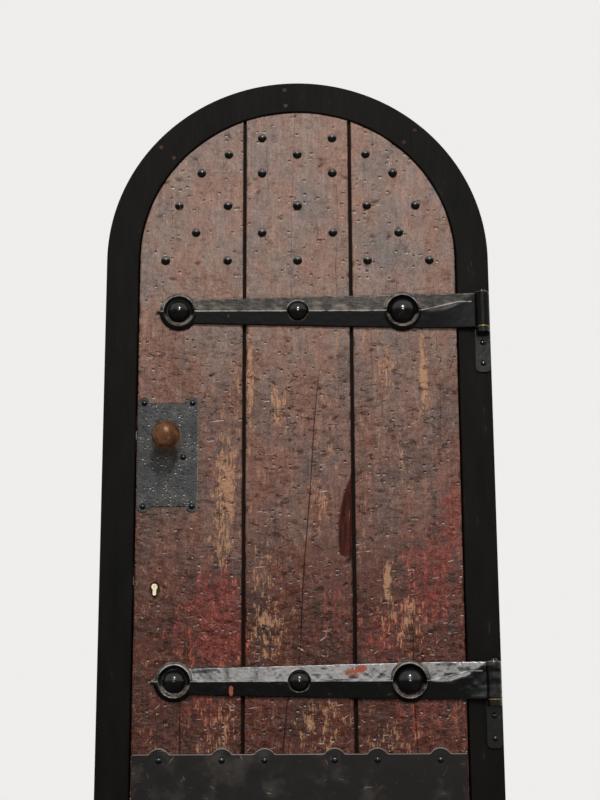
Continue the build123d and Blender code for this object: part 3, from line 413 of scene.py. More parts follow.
# %% Weathered oak: film, red and bare wood
top = oak.ramp(streak, (0.36, 74, 52, 44), (0.46, 112, 91, 81), (0.54, 127, 105, 94), (0.64, 166, 141, 127))
middle = oak.ramp(streak, (0.36, 50, 28, 20), (0.46, 96, 68, 58), (0.54, 112, 83, 71), (0.64, 162, 130, 112))
bottom = oak.ramp(streak, (0.36, 28, 9, 4), (0.46, 64, 28, 17), (0.54, 82, 41, 27), (0.64, 156, 108, 84))
layers = oak.mix(bottom, middle, oak.step(height, 0.62, 1.12))
layers = oak.mix(layers, top, oak.step(height, 1.15, 1.75))
hue = oak.noise(oak.stretch(1.0, 0.5, (0.4, 0.0, 0.7)), 11.0, roughness=0.6)
tint = oak.ramp(hue, (0.36, 212, 222, 230), (0.5, 250, 247, 245), (0.62, 255, 232, 220))
layers = oak.mix(layers, tint, 1.0, "MULTIPLY")

red_mask = oak.step(red * 1.3 + (coarse - 0.5) * 1.4 + (mottle - 0.5) * 1.8, 0.3, 0.9)
red_tone = oak.ramp(streak, (0.38, 46, 11, 8), (0.5, 102, 34, 27), (0.62, 158, 78, 62))
layers = oak.mix(layers, red_tone, red_mask * 0.78)
bare_mask = oak.step(bare * 0.58 + flecks + (mottle - 0.5) * 1.3 + (coarse - 0.5) * 0.4, 0.74, 0.84)
bare_tone = oak.ramp(speck, (0.35, 124, 84, 58), (0.65, 196, 152, 118))
layers = oak.mix(layers, bare_tone, bare_mask * 0.78)
print("with its colours:", len(oak.tree.nodes), "nodes")

# %% [markdown]
# The small marks are too many and too fine for the mesh: pits and short nicks painted dark, each
# with a painted highlight on its lower lip, pale as if the lip caught the light, dark creases, and
# pale cuts at three slants. A lip is the same pattern again, moved down. A crease is where a slow
# noise passes through its middle value, which draws thin bent lines.

# %% Weathered oak: marks of a hard life
LIP_DROP = 2.6 * MM


def dents(drop):
    """Round pits and short nicks, all moved down by a drop."""
    pits = oak.pits(oak.stretch(0.7, 1.0, (0.0, 0.0, drop)), 62.0, 0.62, 0.19)
    return pits, oak.pits(oak.stretch(0.4, 1.1, (0.0, 0.0, drop)), 30.0, 0.78, 0.12)


pits, nicks = dents(0.0)
pit_lips, nick_lips = dents(LIP_DROP)
# Painted highlight: the lower lips of pits and nicks are painted pale, as if they caught the light.
painted_lip_highlight = (pit_lips + nick_lips) * oak.step(speck, 0.44, 0.54)
ripple = oak.noise(oak.stretch(0.3), 62.0, detail=2.0, distortion=0.4)
gate = oak.noise(oak.place, 30.0, detail=2.0, roughness=0.6)
crease = (1.0 - oak.step(abs(ripple - 0.5), 0.004, 0.03)) * oak.step(gate, 0.55, 0.62)
crease = crease * (1.0 - oak.step(height, 1.3, 1.7) * 0.75)
cuts = 0.0
for slant, scale in ((-0.12, 140.0), (0.55, 170.0), (-0.7, 190.0)):
    blows = oak.noise(oak.slanted(slant, 7.0), scale, detail=2.0, distortion=0.3)
    cuts = cuts + oak.step(blows - oak.step(height, 0.6, 1.7) * 0.055, 0.695, 0.74)
# Darker colour in the nicks and chips and along the rounded edges of each plank.
hollow_darkening = oak.step(hollow, 0.35, 1.4)
# The pale lips are a painted highlight; the dark colours darken hollows, creases, pits and nicks.
for colour, mask in (((26, 15, 10), hollow_darkening * 0.6), ((206, 182, 168), cuts * 0.6), ((26, 14, 10), crease * 0.65),
                     ((222, 204, 192), painted_lip_highlight * 0.75), ((20, 11, 8), pits * 0.9), ((24, 14, 10), nicks * 0.75)):
    layers = oak.mix(layers, paint(*colour), mask)
print("with its marks:", len(oak.tree.nodes), "nodes")

# %% [markdown]
# Then comes the relief, from the broad to the fine, calmer in the head than low down. The same
# material covers the planks' backs, where the mask of the front is 0: there it is plain sawn oak.

# %% Weathered oak: tear, cracks and relief
CRACK_HALF = 1.3 * MM
CHECK_HALF = 0.8 * MM
tear_tone = oak.ramp(coarse, (0.35, 14, 4, 3), (0.5, 48, 12, 7), (0.65, 88, 38, 24))
tear_tone = oak.mix(tear_tone, bare_tone, oak.step(bare + coarse - 0.5, 0.9, 1.1))
layers = oak.mix(layers, tear_tone, torn * 0.95)
crack = oak.step(CRACK_HALF - abs(from_crack), 0.0, 0.8 * MM)
check = oak.step(CHECK_HALF - abs(from_check), 0.0, 0.7 * MM)
layers = oak.mix(layers, paint(12, 8, 7), crack)
layers = oak.mix(layers, paint(40, 26, 20), check * 0.75)

uneven = oak.noise(oak.stretch(0.75), 40.0, detail=4.0, roughness=0.55)
rough_place = oak.step(oak.noise(oak.place, 9.0, detail=2.0), 0.42, 0.6)
uneven = (uneven - 0.5) * (0.35 + rough_place)
calm = (1.0 - oak.step(height, 1.3, 1.75) * 0.55) * front
relief = oak.bump(fine * 0.7 + coarse * 0.5, 0.7 * MM)
relief = oak.bump(uneven * calm, 12.0 * MM, relief)
relief = oak.bump((pits + nicks * 1.4) * calm * -1.0 - cuts * 0.2 - crease * 0.5, 5.0 * MM, relief)
relief = oak.bump((speck + (bare_mask + check) * -0.4) * front, 0.9 * MM, relief)
back_tone, back_relief = sawn_tone(oak, pi / 2, (76, 55, 40), (118, 88, 64))
relief = oak.bump(back_relief * (1.0 - front), 0.7 * MM, relief)
dullness = speck * 0.2 + bare_mask * 0.25 + hollow_darkening * 0.2 + torn * 0.6
oak.set(Base_Color=oak.mix(back_tone, layers, front), Roughness=0.65 + (dullness - 0.47) * front,
        Normal=relief, Specular_IOR_Level=0.2)
print("oak finish:", len(oak.tree.nodes), "nodes")

# %% [markdown]
# Iron on an old door is painted again and again. The paint is thick, black and glossy, but it
# follows the hammer marks below it, so its highlights break up. The gloss is a coat over the
# black, left off where the iron faces down, so that undersides stay black as in shade. What faces
# up is paler: partly dust, partly a painted sheen for the light that falls on it. Where the paint
# has come off, a mask on the mesh shows red primer, and another mask draws a pale line along a
# ridge: partly paint that rubbing took off, partly a painted highlight.

# %% Black paint on forged iron
def painted_iron(name, marks, dust_and_sheen, dullness, gloss, spread):
    """Thick black paint over hammer marks of a given depth, dusty with a painted sheen and glossy where it
    faces up.
    """
    finish = Finish(name)
    hammer = finish.noise(finish.place, 70.0, detail=1.0)
    facets = finish.cells(finish.place, 62.0, feature="SMOOTH_F1")
    orange_peel = finish.noise(finish.place, 420.0, roughness=0.6)
    dry = finish.noise(finish.place, 35.0, detail=6.0, roughness=0.7)
    scratch = finish.noise(finish.stretch(0.1), 420.0, roughness=0.7)
    chip = finish.step(finish.stored("chip") * (1.0 + (dry - 0.5) * 4.5), 0.5, 0.6)
    black = finish.ramp(dry, (0.3, 4, 4, 4), (0.65, 10, 9, 9), (0.8, 40, 36, 34))
    primer = finish.ramp(orange_peel, (0.3, 110, 52, 38), (0.7, 168, 96, 78))
    upward = finish.facing("Z")
    shine = finish.step(upward, -0.1, 0.15) * (1.0 - finish.step(upward, 0.5, 0.75))
    # Paler where it faces up: dust, and a painted sheen for the light on upper faces.
    film = finish.step(upward, 0.08, 0.24) * (1.0 - finish.step(upward, 0.75, 0.95))
    film = film * finish.step(scratch + (dry - 0.5) * 1.2, 0.25, 0.75) * dust_and_sheen
    # A pale line along the ridge and boss crests: rubbed paint and a painted highlight.
    edge = finish.step(finish.stored("edge") + (dry - 0.5) * 2.0, 0.3, 0.9)
    black = finish.mix(black, paint(172, 156, 142), film)
    black = finish.mix(black, paint(186, 180, 172), edge * 0.55)
    relief = finish.bump(hammer + facets * 0.8, marks)
    relief = finish.bump(orange_peel + chip * -1.5 + scratch * 0.4, 0.25 * MM, relief)
    finish.set(Base_Color=finish.mix(black, primer, chip), Normal=relief,
               Roughness=dullness + dry * 0.14 + chip * 0.3, Specular_IOR_Level=0.08,
               Coat_Weight=shine * (1.0 - chip) * gloss, Coat_Roughness=spread)
    return finish


smooth_iron = painted_iron("smooth_painted_iron", 0.9 * MM, 0.0, 0.22, 0.8, 0.15)
nail_iron = painted_iron("nail_painted_iron", 0.6 * MM, 0.4, 0.3, 0.9, 0.27)
strap_iron = painted_iron("strap_painted_iron", 0.5 * MM, 0.6, 0.36, 0.0, 0.3)
hammered_iron = painted_iron("hammered_painted_iron", 1.5 * MM, 0.5, 0.2, 1.0, 0.22)
print("painted iron:", len(smooth_iron.tree.nodes), "nodes in each of four finishes")

# %% [markdown]
# The kick plate is dull black sheet steel that shoes have scuffed: thin pale scratches in every
# direction and cloudy rubbed patches. The plate behind the knob is bare iron gone slate grey,
# with rust pits whose lower rims are painted pale as glints, and a painted highlight where it faces
# right. Cells cut off close to their middles make the pits, and a second random value decides
# which cells have one.

# %% Sheet steel and pitted iron
def scuffed_steel():
    """Dull black sheet steel with scuffs and scratches."""
    finish = Finish("scuffed_steel")
    cloud = finish.noise(finish.place, 9.0, detail=6.0, roughness=0.65)
    rub = finish.step(cloud, 0.46, 0.62)
    marks = 0.0
    for angle, scale in ((-0.9, 150.0), (0.5, 190.0), (1.2, 170.0), (0.05, 230.0)):
        lines = finish.noise(finish.slanted(angle, 9.0), scale, detail=1.0)
        marks = marks + finish.step(lines, 0.74, 0.79) * (0.1 + rub)
    tone = finish.ramp(cloud, (0.3, 12, 10, 9), (0.52, 20, 17, 15), (0.68, 54, 49, 45))
    tone = finish.mix(tone, paint(140, 130, 122), marks * 0.5)
    upward = finish.facing("Z")
    # Painted highlight: paler where the worn arris faces up.
    tone = finish.mix(tone, paint(150, 140, 130), finish.step(upward, 0.15, 0.35) * 0.7)
    relief = finish.bump(finish.noise(finish.place, 14.0, detail=2.0), 2.4 * MM)
    relief = finish.bump(marks * -1.0, 0.12 * MM, relief)
    finish.set(Base_Color=tone, Roughness=0.55 - rub * 0.16, Normal=relief,
               Specular_IOR_Level=0.15)
    return finish


def pitted_iron():
    """Slate-grey iron plate, pitted and a little polished by hands, with painted glints on pit rims and a
    painted highlight on its right side.
    """
    finish = Finish("pitted_iron")
    cloud = finish.noise(finish.place, 40.0, detail=5.0, roughness=0.65)
    grit = finish.noise(finish.place, 330.0, roughness=0.7)
    lumps = finish.noise(finish.place, 130.0, roughness=0.6)
    lower = finish.stretch(shift=(-0.5 * MM, 0.0, 2.6 * MM))
    pits = finish.pits(finish.place, 135.0, 0.38, 0.28)
    lips = finish.pits(lower, 135.0, 0.38, 0.24)
    # Painted glints: the lower rims of some pits, painted pale.
    painted_rim_glints = lips * finish.step(cloud + (grit - 0.5) * 0.5, 0.43, 0.49)
    tone = finish.ramp(cloud, (0.3, 34, 34, 36), (0.55, 58, 57, 57), (0.75, 84, 81, 77))
    tone = finish.mix(tone, paint(214, 206, 200), painted_rim_glints * finish.step(lumps, 0.4, 0.6))
    sideways = finish.facing("X")
    # Painted highlight on what faces right.
    painted_right_edge_highlight = finish.step(sideways, 0.3, 0.6) * finish.step(grit, 0.4, 0.6)
    tone = finish.mix(tone, paint(190, 182, 172), painted_right_edge_highlight)
    tone = finish.mix(tone, paint(8, 7, 7), pits * 0.9)
    relief = finish.bump(cloud, 3.0 * MM)
    relief = finish.bump(lumps - pits, 1.5 * MM, relief)
    relief = finish.bump(grit, 0.3 * MM, relief)
    finish.set(Base_Color=tone, Roughness=0.3 + grit * 0.2, Normal=relief, Specular_IOR_Level=0.18)
    return finish


kick_steel = scuffed_steel()
plate_iron = pitted_iron()
print("scuffed steel:", len(kick_steel.tree.nodes), "nodes, pitted iron:", len(plate_iron.tree.nodes))

# %% [markdown]
# Bronze that hands touch every day is brown and bright. The rose behind the knob, which nobody
# touches, has gone dark and dull, so it gets the same finish in darker tones. Lock parts
# are machined steel with fine lines, and the cylinder is pale nickel brass.

# %% Bronze, brass and machined steel
def old_bronze(name, dark, middle, light, gloss):
    """Brown bronze in three tones, as dull as gloss says."""
    finish = Finish(name)
    patina = finish.noise(finish.place, 55.0, detail=6.0, roughness=0.7)
    scratch = finish.noise(finish.stretch(up=0.15), 700.0, detail=2.0)
    tone = finish.ramp(patina, (0.3, *dark), (0.5, *middle), (0.7, *light))
    relief = finish.bump(patina, 0.5 * MM)
    relief = finish.bump(scratch, 0.06 * MM, relief)
    finish.set(Base_Color=tone, Metallic=0.3, Roughness=gloss + patina * 0.2, Normal=relief,
               Specular_IOR_Level=0.3)
    return finish


def machined(name, dark, light, roughness):
    """Machined metal with fine drawn lines and a dull film."""
    finish = Finish(name)
    lines = finish.noise(finish.stretch(up=0.05), 900.0, detail=2.0)
    film = finish.noise(finish.place, 60.0, detail=5.0, roughness=0.65)
    tone = finish.ramp(film, (0.3, *dark), (0.7, *light))
    relief = finish.bump(lines, 0.08 * MM)
    finish.set(Base_Color=tone, Metallic=0.9, Roughness=roughness + film * 0.25, Normal=relief)
    return finish


bronze = old_bronze("handled_bronze", (50, 28, 12), (86, 52, 28), (128, 88, 54), 0.26)
rose_bronze = old_bronze("untouched_bronze", (30, 22, 15), (48, 38, 28), (76, 62, 48), 0.4)
brass = machined("old_brass", (120, 92, 48), (176, 142, 84), 0.3)
lock_steel = machined("lock_steel_worn", (96, 94, 90), (150, 148, 143), 0.32)
cylinder_metal = machined("nickel_brass", (170, 158, 130), (214, 204, 180), 0.22)
print("bronze:", len(bronze.tree.nodes), "nodes, machined metal:", len(brass.tree.nodes))

# %% [markdown]
# The timber frame is painted black. Paint on wood sinks into the grain, and it wears back to
# brown in streaks. The boards inside are plain sawn oak that has only darkened with age,
# so their grain is drawn out along each board: level for ledges and backing boards, slanting
# for the braces, upright for the backs of the planks.

# %% Painted and plain timber
def painted_timber(name):
    """Black paint over upright grain."""
    finish = Finish(name)
    fibre = finish.noise(finish.stretch(up=0.08), 180.0, detail=5.0, roughness=0.65)
    broad = finish.noise(finish.stretch(up=0.25), 22.0, detail=4.0, roughness=0.6)
    worn_through = finish.step(fibre + broad, 1.22, 1.4)
    tone = finish.ramp(broad, (0.3, 8, 8, 6), (0.7, 18, 16, 14))
    tone = finish.mix(tone, paint(84, 60, 46), worn_through * 0.8)
    relief = finish.bump(fibre + broad * 0.6, 1.1 * MM)
    finish.set(Base_Color=tone, Roughness=0.5 + fibre * 0.2, Normal=relief, Specular_IOR_Level=0.05)
    return finish


def sawn_oak(name, slant, dark, light):
    """Plain oak with its grain turned to a slant from level, in radians."""
    finish = Finish(name)
    tone, height = sawn_tone(finish, slant, dark, light)
    finish.set(Base_Color=tone, Roughness=0.6 + height * 0.1, Normal=finish.bump(height, 0.7 * MM),
               Specular_IOR_Level=0.08)
    return finish


frame_paint = painted_timber("black_frame_paint")
inner_level = sawn_oak("inner_oak_level", 0.0, (84, 60, 42), (128, 96, 68))
# Painted shade: the tongues deep in the gaps between planks are near black, as dark as the shade there.
dark_oak = sawn_oak("dark_oak_upright", pi / 2, (8, 4, 2), (22, 12, 7))
sill_oak = sawn_oak("sill_oak", 0.0, (70, 62, 54), (118, 106, 92))
peg_oak = sawn_oak("peg_oak", 0.0, (40, 30, 24), (70, 52, 40))
print("frame paint:", len(frame_paint.tree.nodes), "nodes, sawn oak:", len(sill_oak.tree.nodes))

# %% [markdown]
# Each measured piece already names the material slot it takes. A small table gives every slot
# its finish. A few pieces differ from the others of their slot, such as the two braces, whose
# grain follows their slant.

# %% Finishes on the measured pieces
FINISHES = {
    "frame_timber": frame_paint, "sill_timber": sill_oak, "peg_wood": peg_oak,
    "weathered_oak": oak, "dark_oak": dark_oak, "inner_oak": inner_level,
    "black_iron": smooth_iron, "kick_steel": kick_steel, "plate_iron": plate_iron,
    "bronze": bronze, "brass": brass, "lock_steel": lock_steel, "cylinder_metal": cylinder_metal,
}
for name, node in nodes.items():
    for slot in node.material_slots:
        slot.material = FINISHES[slot.material.name.split(".")[0]].material

own_finishes = {"outer_rose": rose_bronze, "lock_plate_rivets": smooth_iron,
                "kick_plate_rivets": smooth_iron}
for name in ("brace_upper", "brace_lower"):
    low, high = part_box(name)
    slope = float(np.arctan2(high.z - low.z, low.x - high.x))
    own_finishes[name] = sawn_oak(f"{name}_oak", slope, (84, 60, 42), (128, 96, 68))
for name, finish in own_finishes.items():
    nodes[name].material_slots[0].material = finish.material
print(len(FINISHES), "finishes on", len(nodes), "pieces")

# %% [markdown]
# A plank of this age has no flat face. Its surface rolls, its edges are rounded and chipped, and
# hundreds of nicks and gouges cross it. The face is a fine grid of points, one for every 3 mm,
# and each feature pushes the points inwards. Each row's points are shifted sideways so that one
# column runs exactly along the long crack, because a crack that crosses a grid looks jagged.

# %% The long cracks, in height order
MIDDLE_CRACK = ((0.319, -0.046), (0.449, -0.034), (0.559, -0.001), (0.620, 0.004), (0.762, 0.010),
                (0.859, 0.0176), (0.945, 0.025), (1.034, 0.032), (1.107, 0.0375), (1.231, 0.045),
                (1.338, 0.055), (1.413, 0.064))
RIGHT_CRACK = ((0.250, 0.327), (0.317, 0.326), (0.426, 0.320), (0.591, 0.318), (0.758, 0.324))
LEFT_CRACK = ((0.300, -0.330), (0.480, -0.334))
# How far apart the points lie, and how far the block reaches past the plank
GRID = 2.9 * MM
SPARE = 1.0 * MM
# Beside the crack's column of points: how near the next ones come, and how near others may lie
CRACK_SIDE = 1.4 * MM
CRACK_CLEAR = 2.2 * MM


def crack_line(points, z):
    """The crack's place across the door at height z."""
    heights, places = zip(*points)
    return np.interp(z, heights, places)


def face_columns(width, crack_share):
    """Places across a plank from 0 to 1, close together at both edges, with one on the crack."""
    count = round(width / GRID)
    places = np.linspace(0.0, 1.0, count + 1)
    close = (SPARE + np.array([0.0, 0.8, 1.8]) * MM) / width
    places = np.concatenate([places, close, 1.0 - close])
    places = places[abs(places - crack_share) > CRACK_CLEAR / width]
    beside = CRACK_SIDE / width
    return np.sort([*places, crack_share - beside, crack_share, crack_share + beside])


def face_grid(left, right, crack):
    """Points over a plank's face, row by row, and the column that follows the crack."""
    left, right, radius, bottom = left - SPARE, right + SPARE, leaf_half + SPARE, leaf_bottom - SPARE
    width = right - left
    share = (crack_line(crack, springing / 2) - left) / width
    columns = face_columns(width, share)
    number = int(np.argmin(abs(columns - share)))
    inner = min(abs(left), abs(right)) if left * right > 0 else 0.0
    top = springing + (radius ** 2 - inner ** 2) ** 0.5 - 0.8 * MM
    rows = round((top - bottom) / GRID)
    lower_edge = (leaf_bottom, leaf_bottom + 0.9 * MM, leaf_bottom + 2 * MM)
    heights = np.sort([*np.linspace(bottom, top, rows + 1), *lower_edge])
    z = np.repeat(heights[:, None], len(columns), axis=1)
    if left * right < 0:
        natural = left + columns * width
        roof = springing + np.sqrt(radius ** 2 - natural ** 2)
        z = bottom + (z - bottom) / (top - bottom) * (roof - bottom)
    low_x = np.full(z.shape, left)
    high_x = np.full(z.shape, right)
    rim = np.sqrt(np.maximum(radius ** 2 - np.maximum(z - springing, 0.0) ** 2, 0.0))
    if left * right > 0:
        if left < 0:
            low_x = np.minimum(-rim, right)
        else:
            high_x = np.maximum(rim, left)
    target = (crack_line(crack, z) - left) / width
    u = np.where(columns <= share, columns / share * target,
                 1.0 - (1.0 - columns) / (1.0 - share) * (1.0 - target))
    x = low_x + u * (high_x - low_x)
    return x, z, number


print("cracks with", len(MIDDLE_CRACK), len(RIGHT_CRACK), "and", len(LEFT_CRACK), "bends")

# %% [markdown]
# Besides the cracks there are checks, fine splits that open as oak dries. They are too thin for
# the grid of points, so each point only stores how far it lies from the nearest check, with a
# sign for the side, and the shader draws the line where that number passes through 0.

# %% Checks
CHECKS = (((1.738, -0.019), (1.926, -0.016), (2.054, -0.012), (2.209, -0.006)),
          ((1.60, 0.118), (1.72, 0.112), (1.86, 0.121), (1.98, 0.117)),
          ((1.01, 0.412), (1.16, 0.407), (1.30, 0.413), (1.43, 0.409)))
CROSS_CHECKS = (((0.064, 1.455), (0.100, 1.470), (0.138, 1.476)),
                ((0.371, 1.445), (0.405, 1.452), (0.435, 1.469)),
                ((0.297, 1.376), (0.312, 1.382), (0.325, 1.400)))
RANDOM_CHECKS = 46


def random_checks():
    """Short upright checks anywhere on the door."""
    rng = np.random.default_rng(404)
    checks = []
    for _ in range(RANDOM_CHECKS):
        x, z = rng.uniform(-leaf_half, leaf_half), rng.uniform(leaf_bottom + 0.3, arch_top)
        heights = z + np.linspace(0.0, rng.uniform(0.04, 0.22), 4)
        checks.append(tuple(zip(heights, x + np.cumsum(rng.normal(0.0, 1.5 * MM, 4)))))
    return checks


def line_gap(points, along, across):
    """The signed distance across from a line, growing quickly past its ends."""
    ends = np.clip((along - points[0][0]) / 0.01, 0, 1) * np.clip((points[-1][0] - along) / 0.01, 0, 1)
    return (across - crack_line(points, along)) / np.maximum(ends, 0.02)


def check_gap(x, z):
    """The signed distance to the nearest check."""
    gap = np.full(x.shape, 1.0)
    gaps = [line_gap(points, z, x) for points in (*CHECKS, *random_checks())]
    gaps += [line_gap(points, x, z) for points in CROSS_CHECKS]
    for new in gaps:
        gap = np.where(abs(new) < abs(gap), new, gap)
    return gap


print("checks:", len(CHECKS) + len(CROSS_CHECKS), "placed and", RANDOM_CHECKS, "random")

# %% [markdown]
# Nicks are drawn from a seeded list: a place, a length, a width, a depth and a slight tilt.
# Most of them lie level, as blows and planing marks do across the grain, and they lie closer
# together in the lower part of the door, where feet, carts and tools have hit it.

# %% Nicks, chips and rounded edges


def random_nicks(left, right, seed, count):
    """Places and sizes of gouges: x, z, half length, half width, depth, tilt."""
    rng = np.random.default_rng(seed)
    share = rng.uniform(0.0, 1.0, count) ** 1.8
    bold = rng.uniform(0.0, 1.0, count) ** 2.5
    return np.stack([
        rng.uniform(left, right, count),
        leaf_bottom + share * (arch_top - leaf_bottom),
        (3.0 + 11.0 * bold) * MM,
        (2.6 + 3.6 * bold * rng.uniform(0.4, 1.0, count)) * MM,
        (0.5 + 3.0 * bold) * MM,
        rng.normal(0.0, 0.5, count),
    ], axis=1)


def edge_chips(left, right, seed, count):
    """Chips out of both long edges."""
    rng = np.random.default_rng(seed)
    side = rng.integers(0, 2, count)
    return np.stack([
        np.where(side == 0, left, right) + rng.normal(0.0, 1.0, count) * MM,
        leaf_bottom + rng.uniform(0.0, 1.0, count) * (springing - leaf_bottom),
        rng.uniform(2.5, 6.0, count) * MM,
        rng.uniform(3.0, 14.0, count) * MM,
        rng.uniform(1.0, 4.0, count) * MM,
        rng.normal(0.0, 0.15, count),
    ], axis=1)


# The knots and gouges that stand out: x and z in m, half length, half width and depth in mm, tilt
KNOTS = ((0.005, 1.157, 9, 6, 5, 0.2), (-0.062, 0.916, 12, 7, 5, -0.3), (-0.024, 1.192, 6, 4, 3.5, 0.3),
         (0.089, 0.973, 7, 4, 4, 0.0), (0.106, 1.257, 12, 4, 4, 0.6), (-0.297, 1.729, 8, 5, 4, 0.1),
         (-0.250, 1.387, 11, 4, 4, 0.5), (0.216, 1.461, 8, 5, 4, 0.2), (0.208, 1.310, 14, 4, 4, 0.4),
         (0.273, 1.200, 9, 9, 3, 0.0), (0.059, 0.759, 11, 9, 5, 0.2), (0.087, 0.717, 9, 6, 4, -0.2),
         (0.145, 0.844, 12, 8, 5, 0.9), (0.130, 0.773, 8, 6, 4, 0.4), (0.257, 1.408, 13, 3, 3.5, 0.5),
         (-0.12, 1.03, 9, 4, 4, 0.9), (0.062, 1.345, 8, 4, 4, 0.1), (0.075, 1.29, 10, 4, 4, 0.2))


def stamped(x, z, nicks):
    """How deep a list of nicks goes at every point."""
    depth = np.zeros_like(x)
    for place_x, place_z, long, wide, deep, tilt in nicks:
        near = (abs(x - place_x) < 2.6 * long + 2.6 * wide) & (abs(z - place_z) < 2.6 * long + 2.6 * wide)
        dx = x[near] - place_x
        dz = z[near] - place_z
        along = (dx * cos(tilt) + dz * sin(tilt)) / long
        across = (dz * cos(tilt) - dx * sin(tilt)) / wide
        dish = np.maximum(1.0 - (along ** 2 + across ** 2) / 1.6, 0.0)
        depth[near] = np.maximum(depth[near], deep * dish)
    return depth


def rounded(distance, radius):
    """How far an edge of a given radius falls back, at a distance from it."""
    inside = np.clip(1.0 - distance / radius, 0.0, 1.0)
    return radius * (1.0 - np.sqrt(1.0 - inside ** 2))


print(len(KNOTS), "knots and gouges placed by hand")

# %% [markdown]
# Stain and paint go first where hands, boots and rain reach. Each worn patch is a soft spot with
# a place, a size and a strength. The large ones stand where the photograph shows them.

# %% Worn patches


def patches(x, z, places):
    """Soft patches, strongest in their middles: x, z, half width, half height, strength."""
    total = np.zeros_like(x)
    for place_x, place_z, wide, high, strength in places:
        total += strength * np.exp(-((x - place_x) / wide) ** 2 - ((z - place_z) / high) ** 2)
    return total


# Where the stain has worn down to bare oak, and where the old red shows
BARE = ((-0.205, 1.07, 0.035, 0.16, 0.75), (-0.180, 1.33, 0.02, 0.12, 0.35), (-0.225, 0.86, 0.03, 0.10, 0.4),
        (-0.139, 1.36, 0.012, 0.16, 0.8), (-0.06, 1.31, 0.035, 0.09, 0.55), (0.085, 1.30, 0.02, 0.14, 0.35),
        (0.06, 1.02, 0.02, 0.12, 0.4), (-0.10, 0.83, 0.05, 0.12, 0.3), (-0.09, 0.66, 0.05, 0.08, 0.55),
        (0.364, 1.38, 0.014, 0.14, 0.9), (0.25, 1.40, 0.04, 0.10, 0.4), (0.30, 1.13, 0.03, 0.08, 0.3),
        (0.25, 0.79, 0.012, 0.06, 0.9), (0.27, 0.66, 0.05, 0.10, 0.45), (0.33, 0.70, 0.03, 0.10, 0.35),
        (-0.22, 0.36, 0.07, 0.09, 0.43), (0.06, 0.38, 0.07, 0.08, 0.45), (0.24, 0.35, 0.07, 0.06, 0.42),
        (0.144, 0.975, 0.004, 0.045, 1.1))
RED = ((-0.23, 0.72, 0.08, 0.14, 0.75), (-0.20, 0.60, 0.07, 0.06, 0.6), (0.36, 0.78, 0.11, 0.18, 0.6),
       (0.24, 0.62, 0.05, 0.08, 0.6), (0.44, 0.98, 0.05, 0.15, 0.5), (0.10, 0.75, 0.05, 0.15, 0.45),
       (-0.10, 0.95, 0.04, 0.15, 0.2), (-0.19, 1.12, 0.012, 0.05, 0.6), (-0.35, 0.62, 0.06, 0.1, 0.3),
       (-0.25, 0.42, 0.14, 0.08, 0.4), (0.33, 0.42, 0.12, 0.09, 0.45), (0.37, 1.30, 0.05, 0.12, 0.15))
print(len(BARE), "bare patches,", len(RED), "red ones")

# %% [markdown]
# One long splinter has torn out of the middle plank, along its right edge. It left a smooth,
# dark red hollow with a steep left wall and a ragged lower end. Its outline is a list of places
# down the plank, and the depth grows from that outline towards the edge.

# %% The torn splinter
TEAR_LEFT = ((0.850, 0.152), (0.853, 0.131), (0.859, 0.1167), (0.887, 0.1128), (0.930, 0.1118),
             (0.959, 0.114), (0.999, 0.1196), (1.040, 0.130), (1.075, 0.1447), (1.104, 0.1517))
TEAR_STRIP = (0.1435, 0.985)


def tear(x, z):
    """The torn hollow: how much of it is at each point, from 0 to 1, and how deep it is there."""
    wall = x - crack_line(TEAR_LEFT, z) + 0.8 * MM * rolling(x * 0 + 5.0, z / 0.006, 77)
    inside = np.clip(wall / (3.0 * MM), 0.0, 1.0) * (z > TEAR_LEFT[0][0]) * (z < TEAR_LEFT[-1][0])
    inside = inside * np.clip((z - TEAR_LEFT[0][0]) / (7 * MM), 0.0, 1.0)
    fibres = 0.7 * MM * worn(x / 0.006, z / 0.11, 78, 2)
    strip = np.exp(-((x - TEAR_STRIP[0]) / (3 * MM)) ** 2 - ((z - TEAR_STRIP[1]) / 0.045) ** 2)
    return inside, inside * (4.5 * MM + 0.12 * np.maximum(wall, 0.0) + fibres - 3.0 * MM * strip)


print("tear:", round(TEAR_LEFT[-1][0] - TEAR_LEFT[0][0], 3), "m long")

# %% [markdown]
# All this wear adds up. One function gives the depth at any point of a face: the rolling surface,
# the raised fibres, the nicks and chips, the rounded edges and the tear. It also gives the masks
# that the finish reads, so that colour and shape always agree.

# %% How deep the wear goes
# Random marks on each plank
NICKS_EACH = 420
CHIPS_EACH = 70
EDGE_RADIUS = 3.2 * MM


def rounded_edges(x, z, left, right, seed):
    """How far the rounded edges fall back."""
    rim = np.sqrt(np.maximum(leaf_half ** 2 - np.maximum(z - springing, 0.0) ** 2, 0.0))
    roof = springing + np.sqrt(np.maximum(leaf_half ** 2 - x ** 2, 0.0))
    gaps = (x - left, right - x, rim - x, rim + x, z - leaf_bottom, roof - z)
    edge_radius = EDGE_RADIUS * (1.0 + 0.45 * rolling(x * 0 + 3.0, z / 0.03, seed + 40))
    return rounded(np.maximum(np.minimum.reduce(gaps), 0.0), edge_radius)


